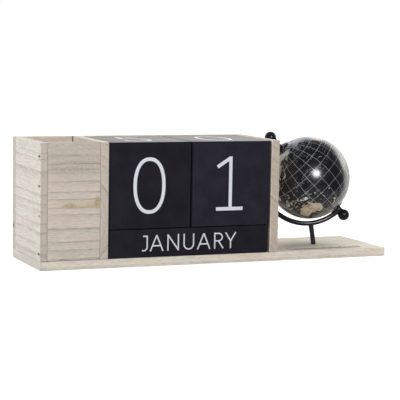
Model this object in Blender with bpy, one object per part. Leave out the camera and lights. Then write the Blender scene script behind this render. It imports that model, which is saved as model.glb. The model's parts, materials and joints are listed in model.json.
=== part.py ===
"""A wooden block calendar with a pen box and a small globe on a wire yoke.

The origin is the middle of the underside of the base board. +X runs along the
board to the globe, +Y to the back and +Z up. All lengths are in metres.
"""

from math import acos, asin, cos, pi, radians, sin, sqrt

import bmesh
import bpy
from mathutils import Matrix, Vector

# Clearances
piece_gap = 0.0003
cut_overrun = 0.004
merge_distance = 0.000003

# Boards
base_thickness = 0.0085
left_wall_thickness = 0.007
divider_thickness = 0.008
right_wall_thickness = 0.0085
back_thickness = 0.0085
front_thickness = 0.0075
pen_box_width = 0.0522
globe_end_length = 0.1224
wall_above_cubes = 0.0005
board_chamfer = 0.0004

# Calendar blocks
cube_side = 0.083
cube_play = 0.0039
cube_back_play = 0.0027
bar_count = 3
bar_play = 0.0004
bar_end_gap = 0.0008
block_setback = 0.0005
block_edge_radius = 0.0008
block_edge_steps = 2
left_play_share = 0.26
middle_play_share = 0.36

# Globe
globe_radius = 0.0425
shell_wall = 0.0016
lip_height = 0.004
lip_thickness = 0.0012
lip_gap = 0.0005
globe_depth_share = 0.463
knob_wall_gap = 0.0089
yoke_above_base = 0.0197
axis_lean = radians(44.8)
yoke_turn = radians(13.5)
ball_drop = 0.002
hub_base_radius = 0.009
hub_shoulder_radius = 0.0083
hub_top_radius = 0.0058
hub_rim = 0.0005
hub_shoulder = 0.0013
axle_radius = 0.0015

# Yoke
wire_radius = 0.002
yoke_clearance = 0.0045
eye_radius = 0.0028
eye_height = 0.005
eye_edge = 0.0005
post_lean = radians(9)
post_foot_offset = 0.007
flare_radius = 0.0033
flare_length = 0.003
flare_overlap = 0.001

# Knobs
knob_radius = 0.0056
knob_neck_radius = 0.0032
knob_neck_length = 0.0005
collar_radius = 0.0028

# Screw under the post
screw_shank_radius = 0.00125
screw_head_radius = 0.0034
screw_head_height = 0.0017
screw_reach = 0.008
washer_radius = 0.0041
washer_thickness = 0.0008
washer_room = 0.0006
screw_below_flush = 0.0005
web_thickness = 0.0015

# Brads
brad_length = 0.018
brad_radius = 0.0007
brad_head_radius = 0.0011
brad_head_height = 0.0008
brad_point = 0.0014
brad_tip_share = 0.5
brad_sides = 8
front_brad_height_shares = (0.062, 0.38, 0.635, 0.885)
back_brad_height_shares = (0.2, 0.5, 0.8)
base_brad_depth_shares = (0.24, 0.72)
base_front_brad_shares = (0.37, 0.67)
base_back_brad_shares = (0.1, 0.56, 0.9)

# Roundness
ball_sides = 40
ball_steps = 11
small_sides = 24
knob_steps = 9
wire_sides = 12
ring_steps = 36
sharp_angle = radians(42)

# Colours and surfaces: colour, roughness, metallic
pale_wood = ((0.66, 0.59, 0.5), 0.72, 0.0)
blue_black_paint = ((0.022, 0.021, 0.03), 0.5, 0.0)
printed_black = ((0.016, 0.017, 0.021), 0.16, 0.0)
black_enamel = ((0.018, 0.018, 0.021), 0.32, 0.3)
dark_steel = ((0.1, 0.09, 0.085), 0.42, 1.0)

# Worked out sizes and places of the boards and blocks
bar_side = (cube_side - (bar_count - 1) * bar_play) / bar_count
wall_height = bar_side + piece_gap + cube_side + wall_above_cubes
bay_width = 2 * cube_side + cube_play
calendar_length = (
    left_wall_thickness
    + pen_box_width
    + divider_thickness
    + bay_width
    + right_wall_thickness
)
base_length = calendar_length + globe_end_length
wall_depth = block_setback + cube_side + cube_back_play
base_depth = wall_depth + piece_gap + back_thickness
left_end = -base_length / 2
right_end = base_length / 2
front_face = -base_depth / 2
back_face = base_depth / 2
floor_top = base_thickness + piece_gap
wall_top = floor_top + wall_height
wall_back = front_face + wall_depth
back_panel_front = wall_back + piece_gap
left_wall_inside = left_end + left_wall_thickness
divider_left = left_wall_inside + pen_box_width
divider_right = divider_left + divider_thickness
right_wall_inside = divider_right + bay_width
right_wall_outside = right_wall_inside + right_wall_thickness
front_brad_y = front_face + front_thickness / 2

# Worked out places on the globe's axis, as distances from the ball's centre.
# The ball sits off the yoke's centre, down towards the lower eye.
yoke_radius = globe_radius + yoke_clearance + wire_radius
bore_radius = axle_radius + piece_gap
eye_inner = yoke_radius - eye_height / 2
eye_outer = yoke_radius + eye_height / 2
hub_top = eye_inner - ball_drop - piece_gap
collar_low = hub_top + piece_gap
collar_high = eye_inner + ball_drop - piece_gap
upper_neck = eye_outer + ball_drop + piece_gap
lower_neck = eye_outer - ball_drop + piece_gap
neck_to_ball = knob_neck_length + sqrt(knob_radius**2 - knob_neck_radius**2)
upper_ball = upper_neck + neck_to_ball
lower_ball = lower_neck + neck_to_ball

# Worked out places in the row. The yoke stands on edge, turned a little about Z.
yoke_side = Vector((cos(yoke_turn), -sin(yoke_turn), 0))
straight_up = Vector((0, 0, 1))
north = straight_up * cos(axis_lean) - yoke_side * sin(axis_lean)
knob_reach = upper_ball * abs(north.x) + knob_radius
yoke_height = yoke_above_base + wire_radius + yoke_radius
ball_centre = Vector(
    (
        right_wall_outside + knob_wall_gap + knob_reach,
        front_face + base_depth * globe_depth_share,
        base_thickness + yoke_height - ball_drop * north.z,
    )
)
yoke_centre = ball_centre + north * ball_drop

# Worked out places of the post, along its axis from the board's top
post_foot = Vector((ball_centre.x, ball_centre.y, base_thickness))
post_foot += yoke_side * post_foot_offset
post_up = straight_up * cos(post_lean) - yoke_side * sin(post_lean)
screw_stack = washer_thickness + screw_head_height + 2 * piece_gap
tilt_drop = screw_head_radius * sin(post_lean)
underside = base_thickness / cos(post_lean)
counterbore_floor = -(underside - screw_stack - screw_below_flush - tilt_drop)
post_bottom = counterbore_floor + web_thickness + piece_gap
washer_top = counterbore_floor - piece_gap
head_top = washer_top - washer_thickness - piece_gap


def clear_scene():
    for old in list(bpy.data.objects):
        bpy.data.objects.remove(old, do_unlink=True)


def set_finish(piece, finish):
    """Gives a piece its own material."""
    colour, roughness, metallic = finish
    material = bpy.data.materials.new(piece.name + "_finish")
    material.use_nodes = True
    shader = material.node_tree.nodes["Principled BSDF"]
    shader.inputs["Base Color"].default_value = (*colour, 1)
    shader.inputs["Roughness"].default_value = roughness
    shader.inputs["Metallic"].default_value = metallic
    piece.data.materials.append(material)


def add_object(name, shape, finish=None):
    """Turns a bmesh into an object, with a finish, or as a cutter without one."""
    bmesh.ops.recalc_face_normals(shape, faces=shape.faces)
    mesh = bpy.data.meshes.new(name)
    shape.to_mesh(mesh)
    shape.free()
    piece = bpy.data.objects.new(name, mesh)
    bpy.context.scene.collection.objects.link(piece)
    if finish:
        set_finish(piece, finish)
    else:
        piece.hide_render = True
        piece.display_type = "WIRE"
    return piece


def add_box(name, low, high, finish, edge, steps=1):
    """A box between two corners, with its edges broken."""
    shape = bmesh.new()
    bmesh.ops.create_cube(shape, size=1)
    size = Vector(high) - Vector(low)
    bmesh.ops.scale(shape, vec=size, verts=shape.verts)
    piece = add_object(name, shape, finish)
    piece.location = (Vector(low) + Vector(high)) / 2
    bevel = piece.modifiers.new("broken edges", "BEVEL")
    bevel.width = edge
    bevel.segments = steps
    return piece


def turned_shape(profile, sides):
    """Spins points (radius, height) about Z. Ends on the axis close themselves."""
    shape = bmesh.new()
    points = [shape.verts.new((radius, 0, height)) for radius, height in profile]
    pairs = list(zip(points, points[1:]))
    if profile[0][0] > 0:
        pairs.append((points[-1], points[0]))
    edges = [shape.edges.new(pair) for pair in pairs]
    bmesh.ops.spin(
        shape,
        geom=points + edges,
        axis=(0, 0, 1),
        cent=(0, 0, 0),
        angle=2 * pi,
        steps=sides,
    )
    bmesh.ops.remove_doubles(shape, verts=shape.verts, dist=merge_distance)
    return shape


def add_turned(name, profile, sides, finish, place, direction):
    """A turned piece whose Z axis points along a direction, from a place."""
    piece = add_object(name, turned_shape(profile, sides), finish)
    piece.location = place
    piece.rotation_mode = "QUATERNION"
    piece.rotation_quaternion = direction.to_track_quat("Z", "Y")
    piece.data.shade_smooth()
    piece.data.set_sharp_from_angle(angle=sharp_angle)
    return piece


def arc(radius, start, end, steps, centre=0.0):
    """Points (radius, height) on an arc; the angles are latitudes."""
    turn = (end - start) / steps
    angles = [start + turn * step for step in range(steps + 1)]
    return [(radius * cos(angle), centre + radius * sin(angle)) for angle in angles]


def cut(piece, cutter):
    """Cuts one object out of a piece."""
    modifier = piece.modifiers.new("cut by " + cutter.name, "BOOLEAN")
    modifier.operation = "DIFFERENCE"
    modifier.solver = "EXACT"
    modifier.object = cutter


def cut_group(piece, collection):
    """Cuts every object of a collection out of a piece."""
    modifier = piece.modifiers.new("cut by " + collection.name, "BOOLEAN")
    modifier.operation = "DIFFERENCE"
    modifier.solver = "EXACT"
    modifier.operand_type = "COLLECTION"
    modifier.collection = collection


def join(piece, other):
    """Adds a hidden object's shape to a piece."""
    modifier = piece.modifiers.new("joined with " + other.name, "BOOLEAN")
    modifier.operation = "UNION"
    modifier.solver = "EXACT"
    modifier.object = other


def rod_profile(radius, low, high):
    return [(0, low), (radius, low), (radius, high), (0, high)]


def tube_profile(bore, radius, low, high):
    return [(bore, low), (radius, low), (radius, high), (bore, high)]


def make_boards():
    """The base, three upright walls, the pen box's front and the back panel."""
    corners = {
        "base_board": (
            (left_end, front_face, 0),
            (right_end, back_face, base_thickness),
        ),
        "left_end_wall": (
            (left_end, front_face, floor_top),
            (left_wall_inside, wall_back, wall_top),
        ),
        "divider_wall": (
            (divider_left, front_face, floor_top),
            (divider_right, wall_back, wall_top),
        ),
        "right_end_wall": (
            (right_wall_inside, front_face, floor_top),
            (right_wall_outside, wall_back, wall_top),
        ),
        "pen_box_front": (
            (left_wall_inside + piece_gap, front_face, floor_top),
            (divider_left - piece_gap, front_face + front_thickness, wall_top),
        ),
        "back_panel": (
            (left_end, back_panel_front, floor_top),
            (right_wall_outside, back_face, wall_top),
        ),
    }
    return {
        name: add_box(name, low, high, pale_wood, board_chamfer)
        for name, (low, high) in corners.items()
    }


def brad_profile(growth):
    """A brad along Z, with its head's outer face at zero and its point below."""
    shank = brad_radius + growth
    head = brad_head_radius + growth
    top = cut_overrun if growth else 0
    under_head = -brad_head_height - growth
    taper = -brad_length + brad_point
    tip = -brad_length - growth
    return [
        (0, tip),
        (shank * brad_tip_share, tip),
        (shank, taper),
        (shank, under_head),
        (head, under_head),
        (head, top),
        (0, top),
    ]


def add_brads(name, places, outward, holes):
    """A row of brads driven against the outward direction, and their holes."""
    for number, place in enumerate(places, 1):
        brad = name + "_" + str(number)
        profile = brad_profile(0)
        add_turned(brad, profile, brad_sides, dark_steel, place, outward)
        profile = brad_profile(piece_gap)
        hole = add_turned(brad + "_hole", profile, brad_sides, None, place, outward)
        bpy.context.scene.collection.objects.unlink(hole)
        holes.objects.link(hole)


def along(low, high, shares):
    return [low + (high - low) * share for share in shares]


def make_brads(boards):
    """The brads that hold the boards together, and the holes for all of them."""
    holes = bpy.data.collections.new("brad holes")
    bpy.context.scene.collection.children.link(holes)
    left, up, down = Vector((-1, 0, 0)), Vector((0, 0, 1)), Vector((0, 0, -1))
    right, back = -left, Vector((0, 1, 0))
    left_middle = (left_end + left_wall_inside) / 2
    divider_middle = (divider_left + divider_right) / 2
    right_middle = (right_wall_inside + right_wall_outside) / 2
    back_middle = (back_panel_front + back_face) / 2

    heights = along(floor_top, wall_top, front_brad_height_shares)
    places = [(left_end, front_brad_y, height) for height in heights]
    add_brads("left_wall_brad", places, left, holes)
    places = [(divider_right, front_brad_y, height) for height in heights]
    add_brads("divider_brad", places, right, holes)

    heights = along(floor_top, wall_top, back_brad_height_shares)
    walls = {"left": left_middle, "divider": divider_middle, "right": right_middle}
    for wall, middle in walls.items():
        places = [(middle, back_face, height) for height in heights]
        add_brads("back_" + wall + "_brad", places, back, holes)

    depths = along(front_face, back_face, base_brad_depth_shares)
    for wall, middle in walls.items():
        places = [(middle, depth, 0) for depth in depths]
        add_brads("base_" + wall + "_brad", places, down, holes)
    spots = along(left_wall_inside, divider_left, base_front_brad_shares)
    places = [(spot, front_brad_y, 0) for spot in spots]
    add_brads("base_front_brad", places, down, holes)
    spots = along(left_end, right_wall_outside, base_back_brad_shares)
    places = [(spot, back_middle, 0) for spot in spots]
    add_brads("base_back_brad", places, down, holes)

    for board in boards.values():
        cut_group(board, holes)


def add_block(name, low, high):
    edge = block_edge_radius
    return add_box(name, low, high, blue_black_paint, edge, block_edge_steps)


def make_blocks():
    """Three month bars side by side, and two day cubes that stand on them."""
    block_front = front_face + block_setback
    bar_left = divider_right + bar_end_gap
    bar_low = floor_top
    bar_high = bar_low + bar_side
    for index, name in enumerate(("front", "middle", "rear")):
        near = block_front + index * (bar_side + bar_play)
        low = (bar_left, near, bar_low)
        high = (bar_left + 2 * cube_side, near + bar_side, bar_high)
        add_block("month_bar_" + name, low, high)
    cube_low = bar_high + piece_gap
    cube_left = divider_right + cube_play * left_play_share
    for name in ("tens", "units"):
        low = (cube_left, block_front, cube_low)
        high = (cube_left + cube_side, block_front + cube_side, cube_low + cube_side)
        add_block("day_cube_" + name, low, high)
        cube_left += cube_side + cube_play * middle_play_share


def make_shells():
    """Two half balls. The southern one has a lip that reaches into the other."""
    inner = globe_radius - shell_wall
    seam = piece_gap / 2
    outer_seam = asin(seam / globe_radius)
    outer_pole = acos(bore_radius / globe_radius)
    inner_seam = asin(seam / inner)
    inner_pole = acos(bore_radius / inner)
    profile = arc(globe_radius, outer_seam, outer_pole, ball_steps)
    profile += arc(inner, inner_pole, inner_seam, ball_steps)
    add_turned(
        "globe_north_shell", profile, ball_sides, printed_black, ball_centre, north
    )
    lip_outside = inner - lip_gap
    lip_inside = lip_outside - lip_thickness
    lip_root = asin(lip_height / inner)
    profile = arc(globe_radius, -outer_pole, -outer_seam, ball_steps)
    profile += [
        (lip_outside, -seam),
        (lip_outside, lip_height),
        (lip_inside, lip_height),
        (lip_inside, -lip_height),
    ]
    profile += arc(inner, -lip_root, -inner_pole, ball_steps - 1)
    add_turned(
        "globe_south_shell", profile, ball_sides, printed_black, ball_centre, north
    )


def make_hubs():
    """Conical caps that sit on the ball at its poles, round the axle."""
    seat = globe_radius + piece_gap
    rim = acos(hub_base_radius / seat)
    bore = acos(bore_radius / seat)
    profile = arc(seat, bore, rim, knob_steps // 2)
    profile += [
        (hub_base_radius, seat * sin(rim) + hub_rim),
        (hub_shoulder_radius, seat * sin(rim) + hub_shoulder),
        (hub_top_radius, hub_top),
        (bore_radius, hub_top),
    ]
    for name, direction in (("north", north), ("south", -north)):
        hub = "globe_" + name + "_hub"
        add_turned(hub, profile, small_sides, black_enamel, ball_centre, direction)


def knob_profile(neck, ball):
    """A ball on a neck, bored from the neck's end to the ball's middle."""
    waist = asin(sqrt(knob_radius**2 - knob_neck_radius**2) / knob_radius)
    surface = arc(knob_radius, -waist, pi / 2, knob_steps, ball)
    profile = [(0, ball + piece_gap), (bore_radius, ball + piece_gap)]
    profile += [(bore_radius, neck), (knob_neck_radius, neck)]
    profile += surface[:-1]
    return profile + [(0, ball + knob_radius)]


def make_axle_and_knobs():
    """The rod that the ball turns on, its two ball knobs and the spacing collar."""
    profile = rod_profile(axle_radius, -lower_ball, upper_ball)
    add_turned("globe_axle", profile, small_sides, dark_steel, ball_centre, north)
    profile = knob_profile(upper_neck, upper_ball)
    add_turned("upper_knob", profile, small_sides, black_enamel, ball_centre, north)
    profile = knob_profile(lower_neck, lower_ball)
    add_turned("lower_knob", profile, small_sides, black_enamel, ball_centre, -north)
    profile = tube_profile(bore_radius, collar_radius, collar_low, collar_high)
    add_turned("upper_collar", profile, small_sides, black_enamel, ball_centre, north)


def half_ring(name, thickness, finish):
    """Half a ring of round wire below the axis, from one pole to the other."""
    shape = bmesh.new()
    wire = bmesh.ops.create_circle(
        shape, cap_ends=True, radius=thickness, segments=wire_sides
    )
    bmesh.ops.translate(shape, verts=wire["verts"], vec=(yoke_radius, 0, 0))
    bmesh.ops.rotate(
        shape, verts=wire["verts"], cent=(0, 0, 0), matrix=Matrix.Rotation(-pi / 2, 3, "Y")
    )
    bmesh.ops.spin(
        shape,
        geom=shape.verts[:] + shape.edges[:] + shape.faces[:],
        axis=(0, 1, 0),
        cent=(0, 0, 0),
        angle=-pi,
        steps=ring_steps,
    )
    ring = add_object(name, shape, finish)
    ring.location = yoke_centre
    ring.rotation_euler = (0, -axis_lean, -yoke_turn)
    return ring


def make_yoke():
    """The wire half ring, with an eye round the axle at each end."""
    ring = half_ring("yoke_ring", wire_radius, black_enamel)
    edge = eye_radius - eye_edge
    profile = [
        (0, eye_inner),
        (edge, eye_inner),
        (eye_radius, eye_inner + eye_edge),
        (eye_radius, eye_outer - eye_edge),
        (edge, eye_outer),
        (0, eye_outer),
    ]
    for name, direction in (("upper", north), ("lower", -north)):
        eye = name + "_eye"
        blank = add_turned(eye, profile, small_sides, None, yoke_centre, direction)
        join(ring, blank)
    reach = eye_outer + cut_overrun
    bore = rod_profile(bore_radius, -reach, reach)
    cut(ring, add_turned("eye_bore", bore, small_sides, None, yoke_centre, north))
    ring.data.shade_smooth()
    ring.data.set_sharp_from_angle(angle=sharp_angle)


def make_post(base):
    """The leaning post, its hole in the base board, and the screw that holds it."""
    offset = yoke_centre - post_foot
    ahead = offset.dot(post_up)
    aside = (offset - post_up * ahead).length
    ring_middle = ahead - sqrt(yoke_radius**2 - aside**2)
    post_top = ring_middle - wire_radius + flare_overlap
    profile = [
        (0, post_bottom),
        (wire_radius, post_bottom),
        (wire_radius, post_top - flare_length),
        (flare_radius, post_top),
        (0, post_top),
    ]
    post = add_turned("yoke_post", profile, small_sides, black_enamel, post_foot, post_up)
    cut(post, half_ring("ring_clearance", wire_radius + piece_gap, None))

    shaft = screw_shank_radius + piece_gap
    seat = wire_radius + piece_gap
    well = washer_radius + washer_room
    below = -underside - cut_overrun
    profile = [
        (0, below),
        (well, below),
        (well, counterbore_floor),
        (shaft, counterbore_floor),
        (shaft, post_bottom - piece_gap),
        (seat, post_bottom - piece_gap),
        (seat, cut_overrun),
        (0, cut_overrun),
    ]
    cut(base, add_turned("stepped_hole", profile, small_sides, None, post_foot, post_up))
    profile = rod_profile(shaft, below, post_bottom + screw_reach)
    cut(post, add_turned("post_bore", profile, small_sides, None, post_foot, post_up))

    profile = tube_profile(
        shaft, washer_radius, washer_top - washer_thickness, washer_top
    )
    add_turned("post_washer", profile, small_sides, dark_steel, post_foot, post_up)
    profile = [
        (0, head_top - screw_head_height),
        (screw_head_radius, head_top - screw_head_height),
        (screw_head_radius, head_top),
        (screw_shank_radius, head_top),
        (screw_shank_radius, post_bottom + screw_reach - piece_gap),
        (0, post_bottom + screw_reach - piece_gap),
    ]
    add_turned("post_screw", profile, small_sides, dark_steel, post_foot, post_up)


clear_scene()
wooden_boards = make_boards()
make_brads(wooden_boards)
make_blocks()
make_shells()
make_hubs()
make_axle_and_knobs()
make_yoke()
make_post(wooden_boards["base_board"])
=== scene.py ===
# %% [markdown]
# # A wooden block calendar with a pen box and a small globe
#
# The calendar stands on one long pale board. From left to right it has a pen box, a bay
# with two black day cubes over three black month bars, and a black globe on a wire yoke.
# Everything here is in metres, with the origin at the middle of the board's underside,
# +X along the board to the globe, +Y to the back and +Z up.
#
# The measured solids come first, as a fixed frame. What follows gives each of them its
# finish, or puts a finer piece in its place.

# %% The measured solids
import json
from math import acos, asin, cos, degrees, pi, radians, sin, sqrt

import bmesh
import bpy
from mathutils import Matrix, Vector, noise
from mathutils.geometry import delaunay_2d_cdt


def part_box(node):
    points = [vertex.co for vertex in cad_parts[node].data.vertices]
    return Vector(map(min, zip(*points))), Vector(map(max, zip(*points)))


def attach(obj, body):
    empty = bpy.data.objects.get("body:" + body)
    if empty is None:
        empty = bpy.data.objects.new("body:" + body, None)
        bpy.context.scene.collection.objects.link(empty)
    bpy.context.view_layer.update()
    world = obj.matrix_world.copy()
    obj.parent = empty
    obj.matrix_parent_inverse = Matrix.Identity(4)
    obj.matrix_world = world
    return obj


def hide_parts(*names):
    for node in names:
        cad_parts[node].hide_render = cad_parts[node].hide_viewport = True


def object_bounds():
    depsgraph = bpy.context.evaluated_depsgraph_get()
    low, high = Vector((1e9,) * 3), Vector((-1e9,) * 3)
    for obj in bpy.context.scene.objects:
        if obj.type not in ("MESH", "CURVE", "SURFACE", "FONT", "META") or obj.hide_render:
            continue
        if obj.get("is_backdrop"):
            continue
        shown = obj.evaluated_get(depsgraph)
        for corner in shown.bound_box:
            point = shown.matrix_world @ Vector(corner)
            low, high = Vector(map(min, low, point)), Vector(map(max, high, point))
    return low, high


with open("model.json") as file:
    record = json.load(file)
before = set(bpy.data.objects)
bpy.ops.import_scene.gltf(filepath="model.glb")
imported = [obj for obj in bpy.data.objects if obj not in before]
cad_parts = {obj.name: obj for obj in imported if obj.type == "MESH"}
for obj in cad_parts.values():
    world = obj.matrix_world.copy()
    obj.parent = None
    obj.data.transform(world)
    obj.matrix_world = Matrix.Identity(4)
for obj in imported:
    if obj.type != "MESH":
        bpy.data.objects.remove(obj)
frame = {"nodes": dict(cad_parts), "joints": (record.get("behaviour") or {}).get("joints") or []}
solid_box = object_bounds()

scene = bpy.context.scene
scene.view_settings.view_transform = "Standard"

# %% [markdown]
# ## The camera
#
# The photograph was taken with a long lens from the front left, a little above the top of
# the blocks. The place and the turn were found by fitting the board's corners. A camera
# looks down its own -Z, so three turns put it right: up from the floor, round to the
# object, and a small roll about its own line of sight.

# %% The camera
eye = bpy.data.cameras.new("camera")
eye.lens = 132.80
eye.sensor_width = 36
eye.clip_start = 0.05
camera = bpy.data.objects.new("camera", eye)
scene.collection.objects.link(camera)
scene.camera = camera
camera_yaw, camera_pitch, camera_roll = radians(22.7965), radians(6.1666), radians(1.0222)
camera.matrix_world = (
    Matrix.Translation((-0.57456, -1.35943, 0.21655))
    @ Matrix.Rotation(-camera_yaw, 4, "Z")
    @ Matrix.Rotation(pi / 2 - camera_pitch, 4, "X")
    @ Matrix.Rotation(camera_roll, 4, "Z")
)
print("camera", [round(value, 3) for value in camera.matrix_world.translation])

# %% [markdown]
# ## Building materials in a few words
#
# A material is a tree of nodes. The helper below adds a node, sets its choices and links
# its inputs in one line, so that each recipe further down reads like a list of steps.


# %% A helper for node trees
class Recipe:
    """Adds nodes to a tree. An input may be a number, a colour or another socket."""

    def __init__(self, tree):
        self.tree = tree

    def node(self, kind, inputs=None, **choices):
        node = self.tree.nodes.new(kind)
        for choice, value in choices.items():
            setattr(node, choice, value)
        for key, value in (inputs or {}).items():
            if isinstance(value, bpy.types.NodeSocket):
                self.tree.links.new(value, node.inputs[key])
            else:
                node.inputs[key].default_value = value
        return node

    def sum(self, operation, a, b=0.0, c=0.0):
        inputs = {0: a, 1: b, 2: c}
        return self.node("ShaderNodeMath", inputs, operation=operation).outputs[0]

    def vector(self, operation, a, b=(0, 0, 0)):
        inputs = {0: a, 1: b}
        node = self.node("ShaderNodeVectorMath", inputs, operation=operation)
        return node.outputs["Value" if operation in ("LENGTH", "DISTANCE") else "Vector"]

    def step(self, value, start, end):
        """A soft step: 0 up to start, 1 past end. With start over end it falls."""
        inputs = {"Value": value, "From Min": start, "From Max": end}
        node = self.node("ShaderNodeMapRange", inputs, interpolation_type="SMOOTHSTEP")
        return node.outputs[0]

    def mix(self, share, a, b, blend="MIX"):
        """Mixes two colours. Their sockets go by place, as several share a name."""
        choices = {"data_type": "RGBA", "blend_type": blend}
        return self.node("ShaderNodeMix", {0: share, 6: a, 7: b}, **choices).outputs[2]

    def noise(self, place, scale, detail=2.0, roughness=0.5):
        inputs = {"Vector": place, "Scale": scale, "Detail": detail, "Roughness": roughness}
        return self.node("ShaderNodeTexNoise", inputs).outputs[0]

    def split(self, vector):
        return self.node("ShaderNodeSeparateXYZ", {0: vector}).outputs

    def curve(self, value, pairs):
        """Straight lines through (value, result) pairs that run from 0 to 1."""
        node = self.node("ShaderNodeFloatCurve", {"Value": value})
        line = node.mapping.curves[0]
        for x, y in pairs[1:-1]:
            line.points.new(x, y)
        line.points[0].location = pairs[0]
        line.points[-1].location = pairs[-1]
        for point in line.points:
            point.handle_type = "VECTOR"
        node.mapping.update()
        return node.outputs[0]


def rgb(red, green, blue):
    return (red, green, blue, 1.0)


def new_material(name, **uniform):
    """A material with its recipe and its shader. Uniform values go on the shader."""
    material = bpy.data.materials.new(name)
    material.use_nodes = True
    shader = material.node_tree.nodes["Principled BSDF"]
    for socket, value in uniform.items():
        shader.inputs[socket.replace("_", " ")].default_value = value
    return material, Recipe(material.node_tree), shader


def bump(recipe, shader, height, depth):
    """Sends a height in metres to the shader as fine relief."""
    inputs = {"Height": height, "Distance": depth, "Strength": 1.0}
    node = recipe.node("ShaderNodeBump", inputs)
    recipe.tree.links.new(node.outputs[0], shader.inputs["Normal"])


def finish_shader(recipe, shader, colour, rough, height=None, depth=0.0):
    """Links the end of a recipe to the shader, with a fine relief where there is one."""
    recipe.tree.links.new(colour, shader.inputs["Base Color"])
    recipe.tree.links.new(rough, shader.inputs["Roughness"])
    if height is not None:
        bump(recipe, shader, height, depth)


def object_place(recipe):
    return recipe.node("ShaderNodeTexCoord").outputs["Object"]


def new_group(name, kind, inputs, outputs):
    """A group of nodes, its recipe and its inputs. An input may have a first value."""
    tree = bpy.data.node_groups.new(name, kind)
    for label, socket, *value in inputs:
        socket = tree.interface.new_socket(
            name=label, in_out="INPUT", socket_type="NodeSocket" + socket
        )
        if value:
            socket.default_value = value[0]
    for label, socket in outputs:
        tree.interface.new_socket(
            name=label, in_out="OUTPUT", socket_type="NodeSocket" + socket
        )
    r = Recipe(tree)
    return tree, r, r.node("NodeGroupInput").outputs


# %% [markdown]
# ## The pale boards
#
# The boards are a light, soft, fast-grown wood, sanded and left raw. Its growth rings are
# wide, with a thin darker line where each year ends. Painting the rings on the faces would
# break at every corner, so the wood is solid here: each point asks how far it is from the
# middle of its log. The same rings then show as straight lines on a face and as arcs on
# the end of the board, as they do on a real one.
#
# One group holds the wood. It wants a place whose X runs along the grain, with the log's
# middle on the X axis.


# %% The wood group
def make_wood_group():
    inputs = [("Place", "Vector"), ("Years", "Float"), ("Line strength", "Float")]
    inputs += [("End grain", "Float"), ("Tone", "Color")]
    outputs = [("Colour", "Color"), ("Height", "Float"), ("Roughness", "Float")]
    tree, r, given = new_group("pale_fast_grown_wood", "ShaderNodeTree", inputs, outputs)
    place = given["Place"]

    def stretched(along, across, detail=2.0, roughness=0.5):
        """Noise from -0.5 to 0.5, drawn out along the grain."""
        drawn = r.vector("MULTIPLY", place, (along, across, across))
        return r.sum("SUBTRACT", r.noise(drawn, 1.0, detail, roughness), 0.5)

    wander = r.sum("MULTIPLY", stretched(55.0, 420.0, 2.0), 0.16)
    years = r.sum("ADD", given["Years"], wander)
    year = r.sum("FLOOR", years)
    part = r.sum("FRACT", years)
    another = r.sum("ADD", year, 31.7)
    strong, tone = (
        r.node("ShaderNodeTexWhiteNoise", {"W": number}, noise_dimensions="1D").outputs[0]
        for number in (year, another)
    )
    rise = r.sum("POWER", r.step(part, 0.55, 0.97), 4.0)
    line = r.sum("MULTIPLY", rise, r.step(part, 1.0, 0.96))
    haze = r.sum("MULTIPLY", r.step(part, 0.5, 0.95), r.step(part, 1.0, 0.93))
    haze = r.sum("MULTIPLY", haze, given["Line strength"])
    broken = r.step(stretched(60.0, 420.0), -0.14, 0.14)
    line = r.sum("MULTIPLY", line, r.sum("MULTIPLY_ADD", broken, 0.7, 0.3))
    line = r.sum("MULTIPLY", line, r.sum("MULTIPLY_ADD", strong, 0.6, 0.4))
    line = r.sum("MULTIPLY", line, given["Line strength"])

    fibre = stretched(110.0, 2300.0, 3.0, 0.6)
    streak = stretched(42.0, 760.0, 3.0, 0.6)
    dash = stretched(150.0, 1050.0, 2.0)
    short = r.step(stretched(130.0, 980.0, 1.0), 0.06, 0.2)
    cloud = stretched(16.0, 70.0, 3.0)
    pore = r.step(stretched(170.0, 1500.0, 1.0), 0.15, 0.24)

    pale = r.mix(tone, rgb(0.655, 0.600, 0.524), rgb(0.735, 0.680, 0.600))
    pale = r.mix(r.step(cloud, -0.12, 0.2), pale, rgb(0.67, 0.59, 0.505))
    colour = r.mix(line, pale, rgb(0.31, 0.25, 0.2))
    marks = [(fibre, 0.22), (streak, 0.42), (dash, 0.5)]
    marks += [(r.sum("MULTIPLY", short, haze), -0.36), (haze, -0.07)]
    marks += [(cloud, 0.2), (pore, -0.16), (part, -0.05)]
    shade = 1.0
    for mark, amount in marks:
        shade = r.sum("MULTIPLY_ADD", mark, amount, shade)
    grey = r.node("ShaderNodeCombineColor", {0: shade, 1: shade, 2: shade}).outputs[0]
    colour = r.mix(1.0, colour, grey, "MULTIPLY")
    colour = r.mix(given["End grain"], colour, rgb(0.845, 0.815, 0.768), "MULTIPLY")
    colour = r.mix(1.0, colour, given["Tone"], "MULTIPLY")

    relief = r.sum("MULTIPLY_ADD", line, -0.7, fibre)
    relief = r.sum("MULTIPLY_ADD", pore, -0.6, relief)
    rough = r.sum("MULTIPLY_ADD", fibre, 0.2, 0.68)
    outputs = {"Colour": colour, "Height": relief, "Roughness": rough}
    r.node("NodeGroupOutput", outputs)
    return tree


wood_group = make_wood_group()
print("wood group:", len(wood_group.nodes), "nodes")
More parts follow.
